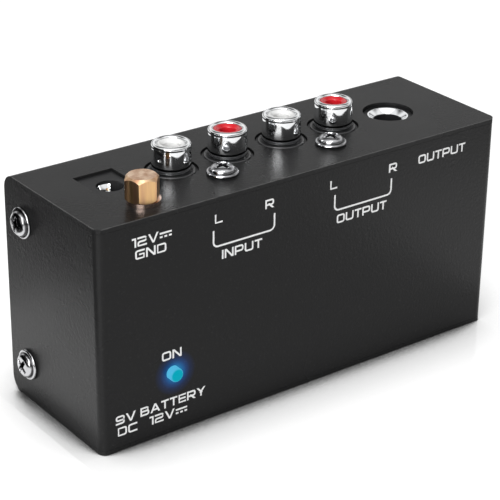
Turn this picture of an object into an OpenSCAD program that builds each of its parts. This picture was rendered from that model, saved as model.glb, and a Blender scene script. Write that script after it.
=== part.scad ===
// Compact phono preamp: a two-piece folded steel case with phono sockets, a 6.35 mm output
// socket, a DC socket and a ground terminal on its connector panel, a pilot lamp on its front,
// a circuit board behind the sockets and a 9 V battery compartment in its back.
// +Z is the connector panel's normal, -Y is the lettered front, X runs along the case.

/* [Case] */
// Outside length of the case
case_w = 104; // [103:0.5:120]
// Outside depth of the case, front face to back face
case_d = 35.5; // [35:0.5:45]
// Outside height of the case, standing face to connector panel
case_h = 50.2; // [50:0.2:65]
// Thickness of the steel sheet
sheet_t = 1.0; // [0.8:0.1:1.2]
// Outer radius of the cover's two upright bends
front_bend_r = 1.8; // [1.4:0.1:3]
// Outer radius of the chassis bends along the back edges
back_bend_r = 3.4; // [2.4:0.1:3.6]
// Depth of the tabs that take the case screws
tab_depth = 13; // [11:0.5:16]

/* [Connector panel] */
// Distance between neighbouring phono sockets
jack_pitch = 14.2; // [13.6:0.1:15]
// Place of the input pair, as a share of the case's length from its left end
input_pair_at = 0.3471; // [0.342:0.001:0.352]
// Place of the output pair, as a share of the case's length
output_pair_at = 0.6202; // [0.615:0.001:0.625]
// Front face to the axes of the phono sockets
phono_v = 17.3; // [16.5:0.1:18]
// Radius of the round openings in the connector panel
panel_hole_r = 5.65; // [5.5:0.05:6]
// Place of the 6.35 mm socket, as a share of the case's length
big_jack_at = 0.8346; // [0.832:0.001:0.845]
// Front face to the axis of the 6.35 mm socket
big_jack_v = 16.6; // [16:0.1:17.4]
// Place of the DC socket, as a share of the case's length
dc_at = 0.1385; // [0.13:0.001:0.145]
// Front face to the screws that hold the phono socket housings
housing_screw_v = 9.2; // [8.8:0.1:9.6]

/* [Phono sockets] */
// Outside radius of a phono socket's metal shell
shell_r = 4.2; // [4.1:0.05:4.3]
// Wall of the metal shell
shell_wall = 0.8; // [0.6:0.05:0.9]
// Step from the shell's barrel in to its root
shell_step = 0.3; // [0.2:0.05:0.4]
// Height of a shell above the connector panel
shell_rise = 6.0; // [5:0.1:8]
// Radius of the centre hole for the plug's pin
pin_hole_r = 1.7; // [1.65:0.05:1.9]
// Width of the housing of a pair of sockets
housing_w = 25.4; // [25.2:0.1:27.4]
// Height of the housing below the roots of the metal shells
housing_root = 6; // [5:0.1:7]
// Width of the housing's screw lug
lug_w = 9; // [8:0.5:12]

/* [Big socket] */
// Radius of the 6.35 mm socket's bore
big_bore_r = 3.2; // [3.18:0.01:3.3]
// Outside radius of its metal bushing
bushing_r = 4.6; // [4.4:0.1:4.9]
// Length of the bushing
bushing_l = 7; // [5:0.5:9]
// Width of the socket's body
big_body_w = 14.6; // [13:0.2:15.4]
// Length of the body behind the connector panel
big_body_l = 23.6; // [21:0.2:25]

/* [DC socket] */
// Width of the DC socket's body
dc_body_w = 9; // [8.6:0.1:9.4]
// Height of the body above the circuit board
dc_body_h = 11; // [10.6:0.1:11.2]
// Length of the body along the plug
dc_body_l = 14.2; // [12:0.2:15]
// Radius of the bore for the plug
dc_bore_r = 2.85; // [2.8:0.05:3]
// Radius of the centre pin
dc_pin_r = 1.05; // [1:0.05:1.25]
// Height of the bore's axis above the circuit board
dc_axis_h = 6.4; // [6:0.1:6.6]

/* [Ground terminal] */
// Place of the ground stud, as a share of the case's length
ground_at = 0.1394; // [0.13:0.001:0.15]
// Front face to the axis of the ground stud
ground_v = 6.2; // [5.8:0.1:7]
// Radius of the threaded stud
stud_r = 1.95; // [1.7:0.05:2]
// Width across the flats of the cap nut
nut_flats = 6.4; // [6:0.1:7]
// Height of the cap nut
nut_h = 5.1; // [4.5:0.1:6.5]
// Thickness of the cap nut's closed end
nut_cap_t = 0.8; // [0.6:0.1:1.2]
// Height of the bevel around the nut's closed end
nut_bevel = 0.75; // [0.4:0.05:1]
// Angle of the nut's corners when tightened
nut_turn = 47.7; // [0:0.1:60]
// Radius of the clamping washer
washer_r = 3.5; // [3.4:0.1:4]
// Thickness of the clamping washer
washer_t = 0.9; // [0.6:0.1:1.2]
// How far the loose washer lies off the stud's axis
washer_shift = 0.5; // [0:0.1:0.6]

/* [Pilot lamp] */
// Place of the lamp, as a share of the case's length
lamp_at = 0.1663; // [0.16:0.001:0.17]
// Standing face to the lamp
lamp_z = 14.0; // [10:0.5:30]
// Radius of the lamp
lamp_r = 1.5; // [1.4:0.05:1.6]
// How far the lamp stands out of the front
lamp_rise = 1.7; // [1:0.1:2.5]
// Radius of the lamp's spacer
spacer_r = 2.4; // [2.2:0.1:2.5]

/* [Circuit board] */
// Front face to the board's component side
board_v = 24.3; // [23.8:0.1:24.8]
// Thickness of the board
board_t = 1.6; // [1:0.1:1.8]
// Gap between the board's ends and the case's screw tabs
board_end_gap = 0.9; // [0.6:0.1:1.5]
// Height of the board above the chassis floor
board_lift = 3; // [2:0.5:5]
// Across the flats of the standoffs
standoff_flats = 5.5; // [5:0.1:6]
// Height of the standoffs above the standing face
standoff_z = 22; // [20:0.5:24]

/* [Battery compartment] */
// Thickness of the battery
battery_t = 17.0; // [16.5:0.1:17.5]
// Length of the compartment beside the battery, for its connector and wires
wire_room = 9.6; // [9:0.1:12]
// Height of the compartment
bay_h = 27.2; // [27:0.1:28]
// Wall of the compartment
bay_wall = 1.2; // [1:0.1:1.4]
// Standing face to the compartment's lower inside wall
bay_z = 6.5; // [6.2:0.1:6.8]
// Width of the rim that covers the edge of the panel's opening
rim_w = 1.8; // [1.4:0.1:2.2]
// Thickness of the rim outside the back panel
rim_t = 1.0; // [0.8:0.1:1.4]
// Thickness of the battery door
door_t = 1.4; // [1.2:0.1:1.8]
// Radius of the door's hinge pins
hinge_pin_r = 0.8; // [0.6:0.05:0.9]

/* [Screws] */
// Radius of the washer head on all outside screws
head_r = 3.4; // [3.2:0.1:3.6]
// Height of that head
head_h = 1.9; // [1.6:0.1:2.4]
// Radius of the screw thread
screw_r = 1.5; // [1.25:0.05:1.6]
// Back of the circuit board to the case screws
case_screw_gap = 2.5; // [2.2:0.1:3.2]
// Connector panel or standing face to the case screws
case_screw_edge = 8.7; // [8:0.1:10]

/* [Feet] */
// Radius of a rubber foot
foot_r = 4; // [3.5:0.25:4.5]
// Height of a rubber foot
foot_h = 2.6; // [2:0.1:4]
// Edge of the back face to a foot's centre
foot_inset = 8.2; // [8:0.1:9]

/* [Clearances] */
// Lap between folded sheets, and between a piece and its seat
lap = 0.05; // [0.03:0.01:0.1]
// Radial clearance of a turning or threaded fit
fit_gap = 0.05; // [0.02:0.01:0.08]
// Clearance of a screw or a lamp in a sheet hole
hole_gap = 0.2; // [0.1:0.05:0.3]
// Gap around the battery door
door_gap = 0.25; // [0.2:0.05:0.35]
// Gap between the battery and its compartment
battery_play = 0.3; // [0.2:0.05:0.5]
// Gap between neighbours inside the case
near_gap = 0.6; // [0.5:0.05:1]
// Gap between the compartment and the socket housings above it
housing_gap = 2.35; // [2:0.05:3]

/* [Hidden] */
$fn = 48;
eps = 0.01;

half_w = case_w / 2;
front_y = -case_d / 2;
back_y = case_d / 2;
inner_half = half_w - sheet_t - lap;
tab_bend_r = sheet_t + 0.8;
relief_w = 3;
panel_in = case_h - sheet_t;
back_in = back_y - sheet_t;

input_x = input_pair_at * case_w - half_w;
output_x = output_pair_at * case_w - half_w;
big_x = big_jack_at * case_w - half_w;
dc_x = dc_at * case_w - half_w;
ground_x = ground_at * case_w - half_w;
lamp_x = lamp_at * case_w - half_w;
phono_y = front_y + phono_v;
big_y = front_y + big_jack_v;
ground_y = front_y + ground_v;
housing_screw_y = front_y + housing_screw_v;
board_y = front_y + board_v;
board_back = board_y + board_t;
dc_y = board_y - dc_axis_h;
case_screw_y = board_back + case_screw_gap;
case_screw_zs = [case_screw_edge, case_h - case_screw_edge];

// Battery compartment
bay_left = lamp_x + spacer_r + near_gap + bay_wall;
bay_right = big_x - big_body_w / 2 - near_gap - bay_wall;
bay_mid = (bay_left + bay_right) / 2;
bay_top = bay_z + bay_h;
bay_mid_z = bay_z + bay_h / 2;
press_rib = 0.5;
door_out = back_y + rim_t;
door_in = door_out - door_t;
battery_back = door_in - battery_play - press_rib;
battery_front = battery_back - battery_t;
bay_floor = battery_front - battery_play;
hinge_r = 1.1;
hinge_y = door_out - hinge_r;
hinge_z = bay_top - door_gap - hinge_r;
battery_right = bay_right - battery_play;
battery_left = bay_left + wire_room - battery_play;
battery_w = bay_h - 1;
terminal_h = 2.6;
terminal_off = 6.35;
clip_t = 4.2;
terminal_y = (battery_front + battery_back) / 2;
wire_y = board_back + 2.6;
wire_zs = [bay_mid_z + 2, bay_mid_z + 4.4];

// Phono sockets
housing_face = panel_in - lap;
housing_foot = bay_top + bay_wall + housing_gap;
housing_front = phono_y - 6.9;
lug_front = housing_screw_y - 3.8;
lug_t = 4.6;
boss_r = panel_hole_r - hole_gap;
boss_top = case_h - 0.45;
collar_r = shell_r + 0.7;
collar_t = 0.35;
shell_top = case_h + shell_rise;
insulator_r = shell_r - shell_wall - fit_gap;
insulator_top = shell_top - 0.25;
insulator_foot = housing_foot + 1.2;
phono_tail_z = housing_foot + 0.6;
tulip_wall = 0.3;

// Big socket
bushing_top = case_h - 0.7;
big_body_foot = panel_in - big_body_l;
big_body_front = big_y - big_body_w / 2;
big_tail_z = big_body_foot - 0.6;
chamber_r = big_bore_r + 0.6;
leaf_x = big_bore_r + 0.9;
leaf_tail_w = 0.8;

// DC socket
dc_face = case_h - 0.5;
dc_foot = dc_face - dc_body_l;
dc_bore_depth = 10.5;
dc_tail_z = dc_foot - 0.5;

// Ground terminal
nut_bore_depth = nut_h - nut_cap_t;
nut_corner_r = nut_flats / 2 / cos(30);
washer_top = case_h + washer_t;
stud_tip = washer_top + lap + nut_bore_depth - 0.2;
lug_sheet = 0.8;
lug_tail_r = 1.6;
stud_head_h = 2.3;
stud_head_r = 3.6;

// Pilot lamp
lamp_flange_t = 1;
lamp_flange_y = front_y + sheet_t + lap;
spacer_y = lamp_flange_y + lamp_flange_t + lap;

// Circuit board
board_half = inner_half - sheet_t - board_end_gap;
board_foot = sheet_t + board_lift;
board_top = panel_in - 0.6;
standoff_x = board_half - 4.4;
lug_tail_x = 3.2 - board_half;
shank_r = 2.1;
tail_out = 0.8;
lead_r = 0.25;
lamp_pitch = 1.27;
chip = [5, 1.5, 3.9];
chip_x = board_half - 9;
chip_zs = [board_foot + 4.5, board_foot + 12];
can_r = 2.5;
can_x = board_half - can_r - 0.7;
can_zs = [board_foot + can_r + 0.4, board_foot + 3 * can_r + 1.5];
resistor_spots = [[board_half - 14.5, board_foot + 8], [8.3 - board_half, board_foot + 5]];
resistor_l = 6;
axial_reach = 0.7;
axial_lead_r = 0.35;
regulator_x = dc_x + 0.6;
regulator_z = dc_foot - 5;
diode_x = dc_x - 0.5;
diode_z = dc_foot - 9.6;
diode_l = 5;

// ---------- shared shapes ----------

// A 2D outline in the Y-Z plane, extruded along X and centred on x
module across(length, x = 0) {
    translate([x - length / 2, 0, 0])
        rotate([90, 0, 90])
            linear_extrude(length) children();
}

// A cylinder along X, Y or Z from its centre of one end
module rod_x(r, l) { rotate([0, 90, 0]) cylinder(r = r, h = l); }
module rod_y(r, l) { rotate([-90, 0, 0]) cylinder(r = r, h = l); }

// A box from its low corner to its high corner
module span(low, high) { translate(low) cube(high - low); }

// A rectangle with round corners, from low to high
module round_rect(low, high, r) {
    translate([low.x + r, low.y]) square([high.x - low.x - 2 * r, high.y - low.y]);
    translate([low.x, low.y + r]) square([high.x - low.x, high.y - low.y - 2 * r]);
    for (x = [low.x + r, high.x - r], y = [low.y + r, high.y - r])
        translate([x, y]) circle(r);
}

// The case seen from above: round front corners, open or square back
module plan_outline(inset, back) {
    r = front_bend_r - inset;
    x = half_w - inset;
    y = front_y + inset;
    translate([-x, y + r]) square([2 * x, back - y - r]);
    translate([-x + r, y]) square([2 * (x - r), back - y]);
    for (s = [-1, 1])
        translate([s * (x - r), y + r]) circle(r);
}

// The case seen from its end: square front corners, round back corners
module side_outline(inset, front) {
    r = back_bend_r - inset;
    y = back_y - inset;
    translate([front, inset]) square([y - front - r, case_h - 2 * inset]);
    translate([front, inset + r]) square([y - front, case_h - 2 * inset - 2 * r]);
    for (z = [inset + r, case_h - inset - r])
        translate([y - r, z]) circle(r);
}

// A screw with a washer head, its seat at z = 0 and its thread going down
module washer_head_screw(length, r = screw_r) {
    flange_t = 0.7;
    dome_r = head_r * 0.8;
    recess = head_r * 0.95;
    difference() {
        union() {
            translate([0, 0, -length]) cylinder(r = r, h = length + eps);
            rotate_extrude() {
                square([head_r - flange_t / 2, flange_t]);
                translate([head_r - flange_t / 2, flange_t / 2]) circle(flange_t / 2);
                intersection() {
                    translate([0, head_h - dome_r * 1.6]) circle(dome_r * 1.6);
                    square([dome_r, head_h]);
                }
            }
        }
        for (a = [0, 90])
            rotate([0, 0, a])
                translate([-recess / 2, -0.4, head_h - 1.3]) cube([recess, 0.8, 1.4]);
        translate([0, 0, head_h - 1.5]) cylinder(r1 = 0.3, r2 = 0.95, h = 1.6);
    }
}

// ---------- case ----------

module cover() {
    low = sheet_t + lap;
    ear_y = back_y - back_bend_r - eps;
    color("#26272a")
    difference() {
        union() {
            intersection() {
                translate([0, 0, low])
                    linear_extrude(case_h - 2 * low)
                        difference() {
                            plan_outline(0, back_y);
                            plan_outline(sheet_t, back_y + 1);
                        }
                across(case_w) side_outline(0, front_y);
            }
            for (s = [-1, 1])
                across(sheet_t, s * (half_w - sheet_t / 2))
                    intersection() {
                        side_outline(0, ear_y);
                        translate([ear_y, 0]) square([back_y - ear_y, case_h]);
                    }
        }
        translate([lamp_x, front_y - 1, lamp_z]) rod_y(lamp_r + 0.1, sheet_t + 2);
        for (z = case_screw_zs)
            translate([-half_w - 1, case_screw_y, z]) rod_x(screw_r + hole_gap, case_w + 2);
    }
}

// Folded channel: connector panel, back panel and floor, with a screw tab at each end
module chassis() {
    wing_back = back_y - back_bend_r - lap;
    tab_low = back_bend_r + 1;
    tab_high = case_h - tab_low;
    slit = 0.6;
    color("#26272a")
    difference() {
        union() {
            difference() {
                across(2 * inner_half)
                    difference() {
                        side_outline(0, front_y + lap);
                        side_outline(sheet_t, front_y - 1);
                    }
                for (s = [-1, 1])
                    span([s * inner_half - relief_w, back_in - 1, tab_low - slit],
                         [s * inner_half + relief_w, back_y + 1, tab_high + slit]);
            }
            for (z = [0, panel_in])
                translate([0, 0, z]) linear_extrude(sheet_t) plan_outline(0, wing_back);
            translate([0, 0, tab_low]) linear_extrude(tab_high - tab_low) tab_outline();
        }
        panel_openings();
        battery_opening();
        for (z = case_screw_zs)
            translate([-half_w, case_screw_y, z]) rod_x(screw_r + fit_gap, case_w);
        for (s = [-1, 1])
            translate([s * standoff_x, back_in - 1, standoff_z]) rod_y(shank_r, sheet_t + 2);
    }
}

// The two tabs, their bends and the strips that join them to the back panel, seen from above
module tab_outline() {
    for (m = [0, 1])
        mirror([m, 0]) {
            translate([inner_half - sheet_t, back_y - tab_depth])
                square([sheet_t, tab_depth - tab_bend_r + eps]);
            translate([inner_half - relief_w - 1, back_in])
                square([relief_w + 1 - tab_bend_r + eps, sheet_t]);
            translate([inner_half - tab_bend_r, back_y - tab_bend_r])
                intersection() {
                    difference() {
                        circle(tab_bend_r);
                        circle(tab_bend_r - sheet_t);
                    }
                    square(tab_bend_r + 1);
                }
        }
}

// Openings for the sockets, the screws and the ground stud
module panel_openings() {
    deep = sheet_t + 2;
    translate([0, 0, panel_in - 1]) {
        for (x = [input_x, output_x]) {
            for (s = [-0.5, 0.5])
                translate([x + s * jack_pitch, phono_y, 0]) cylinder(r = panel_hole_r, h = deep);
            translate([x, housing_screw_y, 0]) cylinder(r = screw_r + hole_gap, h = deep);
        }
        translate([big_x, big_y, 0]) cylinder(r = panel_hole_r, h = deep);
        translate([ground_x, ground_y, 0]) cylinder(r = stud_r + hole_gap, h = deep);
        translate([dc_x - dc_body_w / 2 - hole_gap, board_y - dc_body_h - hole_gap, 0])
            cube([dc_body_w + 2 * hole_gap, dc_body_h + 2 * hole_gap, deep]);
    }
}

// Opening of the battery compartment in the back panel
module battery_opening() {
    edge = bay_wall + hole_gap;
    span([bay_left - edge, back_in - 1, bay_z - edge],
         [bay_right + edge, back_y + 1, bay_top + edge]);
}

module case_screws() {
    color("silver")
    for (s = [-1, 1], z = case_screw_zs)
        translate([s * (half_w + lap), case_screw_y, z])
            rotate([0, s * 90, 0]) washer_head_screw(5);
}

module housing_screws() {
    color("silver")
    for (x = [input_x, output_x])
        translate([x, housing_screw_y, case_h + lap])
            rotate([0, 0, 20]) washer_head_screw(4.8);
}

module rubber_feet() {
    color("#1b1b1b")
    for (s = [-1, 1], z = [foot_inset, case_h - foot_inset])
        translate([s * (half_w - foot_inset), back_y, z])
            rotate([-90, 0, 0])
                rotate_extrude() {
                    square([foot_r, foot_h * 0.6]);
                    translate([0, foot_h * 0.6]) square([foot_r - foot_h * 0.4, foot_h * 0.4]);
                    translate([foot_r - foot_h * 0.4, foot_h * 0.6]) circle(foot_h * 0.4);
                }
}

// ---------- phono sockets ----------

// Moulded housing of two sockets, with bosses that fill the panel openings and a screw lug
module phono_housing(x) {
    low = housing_foot;
    rib = 1.2;
    color("#151517")
    difference() {
        union() {
            span([x - housing_w / 2, housing_front, low],
                 [x + housing_w / 2, board_y - lap, housing_face]);
            span([x - lug_w / 2, lug_front, housing_face - lug_t],
                 [x + lug_w / 2, housing_front + eps, housing_face]);
            for (s = [-0.5, 0.5])
                translate([x + s * (lug_w - rib), 0, 0])
                    across(rib)
                        polygon([[lug_front + 1, housing_face - lug_t + eps],
                                 [housing_front + eps, housing_face - lug_t + eps],
                                 [housing_front + eps, low + 1]]);
            for (s = [-0.5, 0.5])
                translate([x + s * jack_pitch, phono_y, housing_face - eps])
                    cylinder(r = boss_r, h = boss_top - housing_face + eps);
        }
        for (s = [-0.5, 0.5])
            translate([x + s * jack_pitch, phono_y, 0]) {
                translate([0, 0, low + 3]) cylinder(r = shell_r - shell_step + fit_gap, h = boss_top - low);
                translate([0, 0, low - 1]) cylinder(r = insulator_r + fit_gap, h = 5);
                translate([0, 0, low - 1])
                    span([-1.2, 0, 0], [1.2, board_y - phono_y, 2.2]);
            }
        translate([x, housing_screw_y, housing_face - lug_t - 1])
            cylinder(r = screw_r + fit_gap, h = lug_t + 2);
        span([x - 1.6, housing_front + 1.4, low - 1],
             [x + 1.6, board_y - 1.6, housing_face - 1.6]);
    }
}

module input_housing() { phono_housing(input_x); }
module output_housing() { phono_housing(output_x); }

// Metal shell with a rounded lip and a collar that sits on the housing's boss
module phono_shell(x) {
    lip = shell_wall / 2;
    color("gainsboro")
    translate([x, phono_y, 0])
        rotate_extrude() {
            translate([shell_r - shell_wall, housing_foot + housing_root])
                square([shell_wall - shell_step, boss_top + lap + eps - housing_foot - housing_root]);
            translate([shell_r - shell_wall, boss_top + lap])
                square([shell_wall, shell_top - lip - boss_top - lap]);
            translate([shell_r - lip, shell_top - lip]) circle(lip);
            translate([shell_r - eps, boss_top + lap]) square([collar_r - shell_r, collar_t]);
        }
}

module input_left_shell() { phono_shell(input_x - jack_pitch / 2); }
module input_right_shell() { phono_shell(input_x + jack_pitch / 2); }
module output_left_shell() { phono_shell(output_x - jack_pitch / 2); }
module output_right_shell() { phono_shell(output_x + jack_pitch / 2); }

// Coloured insulator: a rounded ring round the pin hole, with room for the contact below
module phono_insulator(x, shade) {
    crown = (insulator_r - pin_hole_r) / 2;
    color(shade)
    translate([x, phono_y, 0])
        rotate_extrude()
            difference() {
                union() {
                    translate([pin_hole_r, insulator_foot])
                        square([insulator_r - pin_hole_r, insulator_top - crown - insulator_foot]);
                    translate([pin_hole_r + crown, insulator_top - crown]) circle(crown);
                }
                translate([0, insulator_foot - 1])
                    square([pin_hole_r + tulip_wall + fit_gap, insulator_top - 3 - insulator_foot]);
            }
}

module input_left_insulator() { phono_insulator(input_x - jack_pitch / 2, "white"); }
module input_right_insulator() { phono_insulator(input_x + jack_pitch / 2, "#c81e28"); }
module output_left_insulator() { phono_insulator(output_x - jack_pitch / 2, "white"); }
module output_right_insulator() { phono_insulator(output_x + jack_pitch / 2, "#c81e28"); }

// Slotted centre contacts, each with a tail that is soldered into the board
module phono_contacts() {
    tulip_top = insulator_top - 4.4;
    color("silver")
    for (x = [input_x, output_x], s = [-0.5, 0.5])
        translate([x + s * jack_pitch, phono_y, 0]) {
            difference() {
                translate([0, 0, phono_tail_z])
                    cylinder(r = pin_hole_r + tulip_wall, h = tulip_top - phono_tail_z);
                translate([0, 0, phono_tail_z + 1]) cylinder(r = pin_hole_r, h = tulip_top);
                translate([-0.3, -3, tulip_top - 5]) cube([0.6, 6, 6]);
            }
            span([-0.4, 0, phono_tail_z - 0.3],
                 [0.4, board_back - phono_y + tail_out, phono_tail_z + 0.3]);
        }
}

// ---------- 6.35 mm socket ----------

module big_jack_body() {
    color("#151517")
    difference() {
        union() {
            span([big_x - big_body_w / 2, big_body_front, big_body_foot],
                 [big_x + big_body_w / 2, board_y - lap, housing_face]);
            translate([big_x, big_y, housing_face - eps])
                cylinder(r = boss_r, h = 0.3);
        }
        translate([big_x, big_y, big_body_foot - 1])
            cylinder(r = chamber_r, h = big_body_l - 2);
        translate([big_x, big_y, bushing_top - bushing_l])
            cylinder(r = bushing_r + fit_gap, h = bushing_l + 2);
        for (s = [-1, 1])
            translate([big_x + s * (big_bore_r + 1.3), big_y, 0])
                span([-1.6, -1.7, big_body_foot - 1], [1.6, 1.7, bushing_top - bushing_l - 2]);
        for (s = [-1, 1])
            translate([big_x + s * (big_body_w / 2), 0, 0])
                span([-1.2, big_body_front + 2, big_body_foot + 2],
                     [1.2, board_y - 3, big_body_foot + 8]);
    }
}

// Metal bushing with a bevelled mouth
module big_jack_bushing() {
    bevel = 1.3;
    color("gainsboro")
    translate([big_x, big_y, 0])
        rotate_extrude()
            polygon([[big_bore_r, bushing_top - bushing_l], [bushing_r, bushing_top - bushing_l],
                     [bushing_r, bushing_top], [bushing_r - 0.25, bushing_top],
                     [big_bore_r, bushing_top - bevel]]);
}

// Two leaf contacts that lie along the bore, with tails into the board
module big_jack_contacts() {
    leaf_t = 0.35;
    leaf_top = bushing_top - bushing_l - 3;
    color("silver")
    for (s = [-1, 1])
        translate([big_x, big_y, 0])
            scale([s, 1, 1]) {
                rotate([90, 0, 0])
                    translate([0, 0, -1.3])
                        linear_extrude(2.6)
                            polygon([[leaf_x, big_tail_z], [leaf_x - 0.7, leaf_top - 4],
                                     [leaf_x, leaf_top], [leaf_x + leaf_t, leaf_top],
                                     [leaf_x - 0.7 + leaf_t, leaf_top - 4],
                                     [leaf_x + leaf_t, big_tail_z]]);
                span([leaf_x, -1.3, big_tail_z - 0.4],
                     [leaf_x + leaf_tail_w, board_back - big_y + tail_out, big_tail_z + 0.4]);
            }
}

// ---------- DC socket ----------

module dc_jack_body() {
    color("#151517")
    difference() {
        span([dc_x - dc_body_w / 2, board_y - dc_body_h, dc_foot],
             [dc_x + dc_body_w / 2, board_y - lap, dc_face]);
        translate([dc_x, dc_y, dc_face - dc_bore_depth]) cylinder(r = dc_bore_r, h = dc_bore_depth + 1);
        translate([dc_x, dc_y, dc_foot - 1]) cylinder(r = dc_pin_r + fit_gap, h = dc_body_l);
        span([dc_x - dc_body_w / 2 - 1, board_y - dc_body_h - 1, dc_foot - 1],
             [dc_x + dc_body_w / 2 + 1, board_y - dc_axis_h - 2, dc_foot + 2.4]);
    }
}

module dc_jack_pin() {
    tip = dc_face - 1.2;
    color("silver")
    translate([dc_x, dc_y, 0]) {
        rotate_extrude() {
            translate([0, dc_tail_z]) square([dc_pin_r, tip - dc_pin_r - dc_tail_z]);
            intersection() {
                translate([0, tip - dc_pin_r]) circle(dc_pin_r);
                translate([0, tip - dc_pin_r - eps]) square(dc_pin_r + eps);
            }
        }
        span([-0.4, 0, dc_tail_z - 0.3], [0.4, board_back - dc_y + tail_out, dc_tail_z + 0.3]);
    }
}

// Curved spring contact on the near side of the bore
module dc_jack_contact() {
    deep = dc_face - dc_bore_depth + 0.3;
    color("gainsboro")
    translate([dc_x, dc_y, 0])
        rotate([0, 0, 165])
            rotate_extrude(angle = 140)
                polygon([[dc_bore_r - 0.35, deep], [dc_bore_r - fit_gap, deep],
                         [dc_bore_r - fit_gap, dc_face - 0.7], [dc_bore_r - 0.3, dc_face - 0.5],
                         [dc_bore_r - 0.75, dc_face - 2.6]]);
}

// ---------- ground terminal ----------

module ground_stud() {
    head_top = panel_in - lug_sheet - 2 * lap;
    color("#b08d57")
    translate([ground_x, ground_y, 0]) {
        translate([0, 0, head_top - stud_head_h]) cylinder(r = stud_head_r, h = stud_head_h);
        translate([0, 0, head_top - eps]) cylinder(r = stud_r, h = stud_tip - head_top - 0.4 + eps);
        translate([0, 0, stud_tip - 0.4]) cylinder(r1 = stud_r, r2 = stud_r - 0.4, h = 0.4);
    }
}

// Solder lug between the stud's head and the panel, its tail towards the left end
module ground_lug() {
    low = panel_in - lap - lug_sheet;
    color("silver")
    translate([0, 0, low])
        linear_extrude(lug_sheet)
            difference() {
                union() {
                    translate([ground_x, ground_y]) circle(3.9);
                    translate([lug_tail_x, ground_y - lug_tail_r])
                        square([ground_x - lug_tail_x, 2 * lug_tail_r]);
                    translate([lug_tail_x, ground_y]) circle(lug_tail_r);
                }
                translate([ground_x, ground_y]) circle(stud_r + fit_gap);
                translate([lug_tail_x, ground_y]) circle(lug_tail_r / 2);
            }
}

module ground_washer() {
    color("#d9a98c")
    difference() {
        translate([ground_x + washer_shift, ground_y + washer_shift / 2, case_h + lap])
            cylinder(r = washer_r, h = washer_t - lap);
        translate([ground_x, ground_y, case_h - 1]) cylinder(r = stud_r + 0.3, h = washer_t + 2);
    }
}

// Closed hexagon nut with a bevelled top and a blind threaded bore
module ground_nut() {
    seat = washer_top + lap;
    face_r = nut_flats / 2 - 0.25;
    slope = nut_bevel / (nut_corner_r - face_r);
    color("#c58a5c")
    translate([ground_x, ground_y, seat])
        difference() {
            intersection() {
                rotate([0, 0, nut_turn]) cylinder(r = nut_corner_r, h = nut_h, $fn = 6);
                rotate_extrude()
                    polygon([[0, 0], [nut_corner_r + 1, 0], [nut_corner_r + 1, nut_h - nut_bevel - slope],
                             [face_r, nut_h], [0, nut_h]]);
            }
            translate([0, 0, -1]) cylinder(r = stud_r + fit_gap, h = nut_bore_depth + 1);
        }
}

// Wire from the lug's tail to the board
module ground_wire() {
    wire_r = 0.7;
    color("green")
    translate([lug_tail_x, ground_y, panel_in - 2 * lap - lug_sheet - wire_r])
        rod_y(wire_r, board_y - lap - ground_y);
}

// ---------- pilot lamp ----------

// A 3 mm lamp whose flange lies behind the front panel
module pilot_lamp() {
    tip = front_y - lamp_rise;
    color("#35d8f0")
    translate([lamp_x, 0, lamp_z]) {
        translate([0, tip + lamp_r, 0]) rod_y(lamp_r, lamp_flange_y - tip - lamp_r + eps);
        translate([0, tip + lamp_r, 0]) sphere(lamp_r);
        translate([0, lamp_flange_y, 0]) rod_y(lamp_r + 0.4, lamp_flange_t);
    }
}

// Plastic spacer between the lamp and the board
module lamp_spacer() {
    color("#151517")
    translate([lamp_x, spacer_y, lamp_z])
        difference() {
            rod_y(spacer_r, board_y - lap - spacer_y);
            for (s = [-1, 1])
                translate([s * lamp_pitch, -1, 0]) rod_y(lead_r + hole_gap, board_y - spacer_y + 2);
        }
}

module lamp_leads() {
    color("silver")
    for (s = [-1, 1])
        translate([lamp_x + s * lamp_pitch, spacer_y, lamp_z])
            rod_y(lead_r, board_back + tail_out - spacer_y);
}

// ---------- circuit board ----------

// Board with a notch for the battery compartment
module circuit_board() {
    notch_left = bay_left - bay_wall - near_gap;
    notch_right = bay_right + bay_wall + near_gap;
    notch_top = bay_top + bay_wall + near_gap;
    color("#1f6b3a")
    difference() {
        span([-board_half, board_y, board_foot], [board_half, board_back, board_top]);
        span([notch_left, board_y - 1, 0], [notch_right, board_back + 1, notch_top]);
        for (x = [-standoff_x, standoff_x])
            board_hole(x, standoff_z, screw_r + hole_gap);
        for (s = [-1, 1]) {
            board_hole(lamp_x + s * lamp_pitch, lamp_z, lead_r + hole_gap);
            board_hole(big_x + s * (leaf_x + leaf_tail_w / 2), big_tail_z, leaf_tail_w);
            board_hole(diode_x + s * (diode_l / 2 + axial_reach), diode_z, axial_lead_r + hole_gap);
            for (spot = resistor_spots)
                board_hole(spot.x, spot.y + s * (resistor_l / 2 + axial_reach), axial_lead_r + hole_gap);
        }
        for (x = [input_x, output_x], s = [-0.5, 0.5])
            board_hole(x + s * jack_pitch, phono_tail_z, 0.65);
        board_hole(dc_x, dc_tail_z, 0.65);
        for (i = [-1, 0, 1])
            board_hole(regulator_x + i * lamp_pitch, regulator_z, lead_r + hole_gap);
    }
}

module board_hole(x, z, r) {
    translate([x, board_y - 1, z]) rod_y(r, board_t + 2);
}

// Hexagonal standoffs pressed into the back panel
module board_standoffs() {
    color("#c9ccd0")
    for (s = [-1, 1])
        translate([s * standoff_x, board_back + lap, standoff_z])
            difference() {
                union() {
                    rotate([-90, 0, 0])
                        cylinder(r = standoff_flats / 2 / cos(30), $fn = 6,
                                 h = back_in - board_back - 2 * lap);
                    rod_y(shank_r - 0.02, back_y - lap - board_back - lap);
                }
                translate([0, -1, 0]) rod_y(screw_r + fit_gap, 6.5);
            }
}

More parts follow.
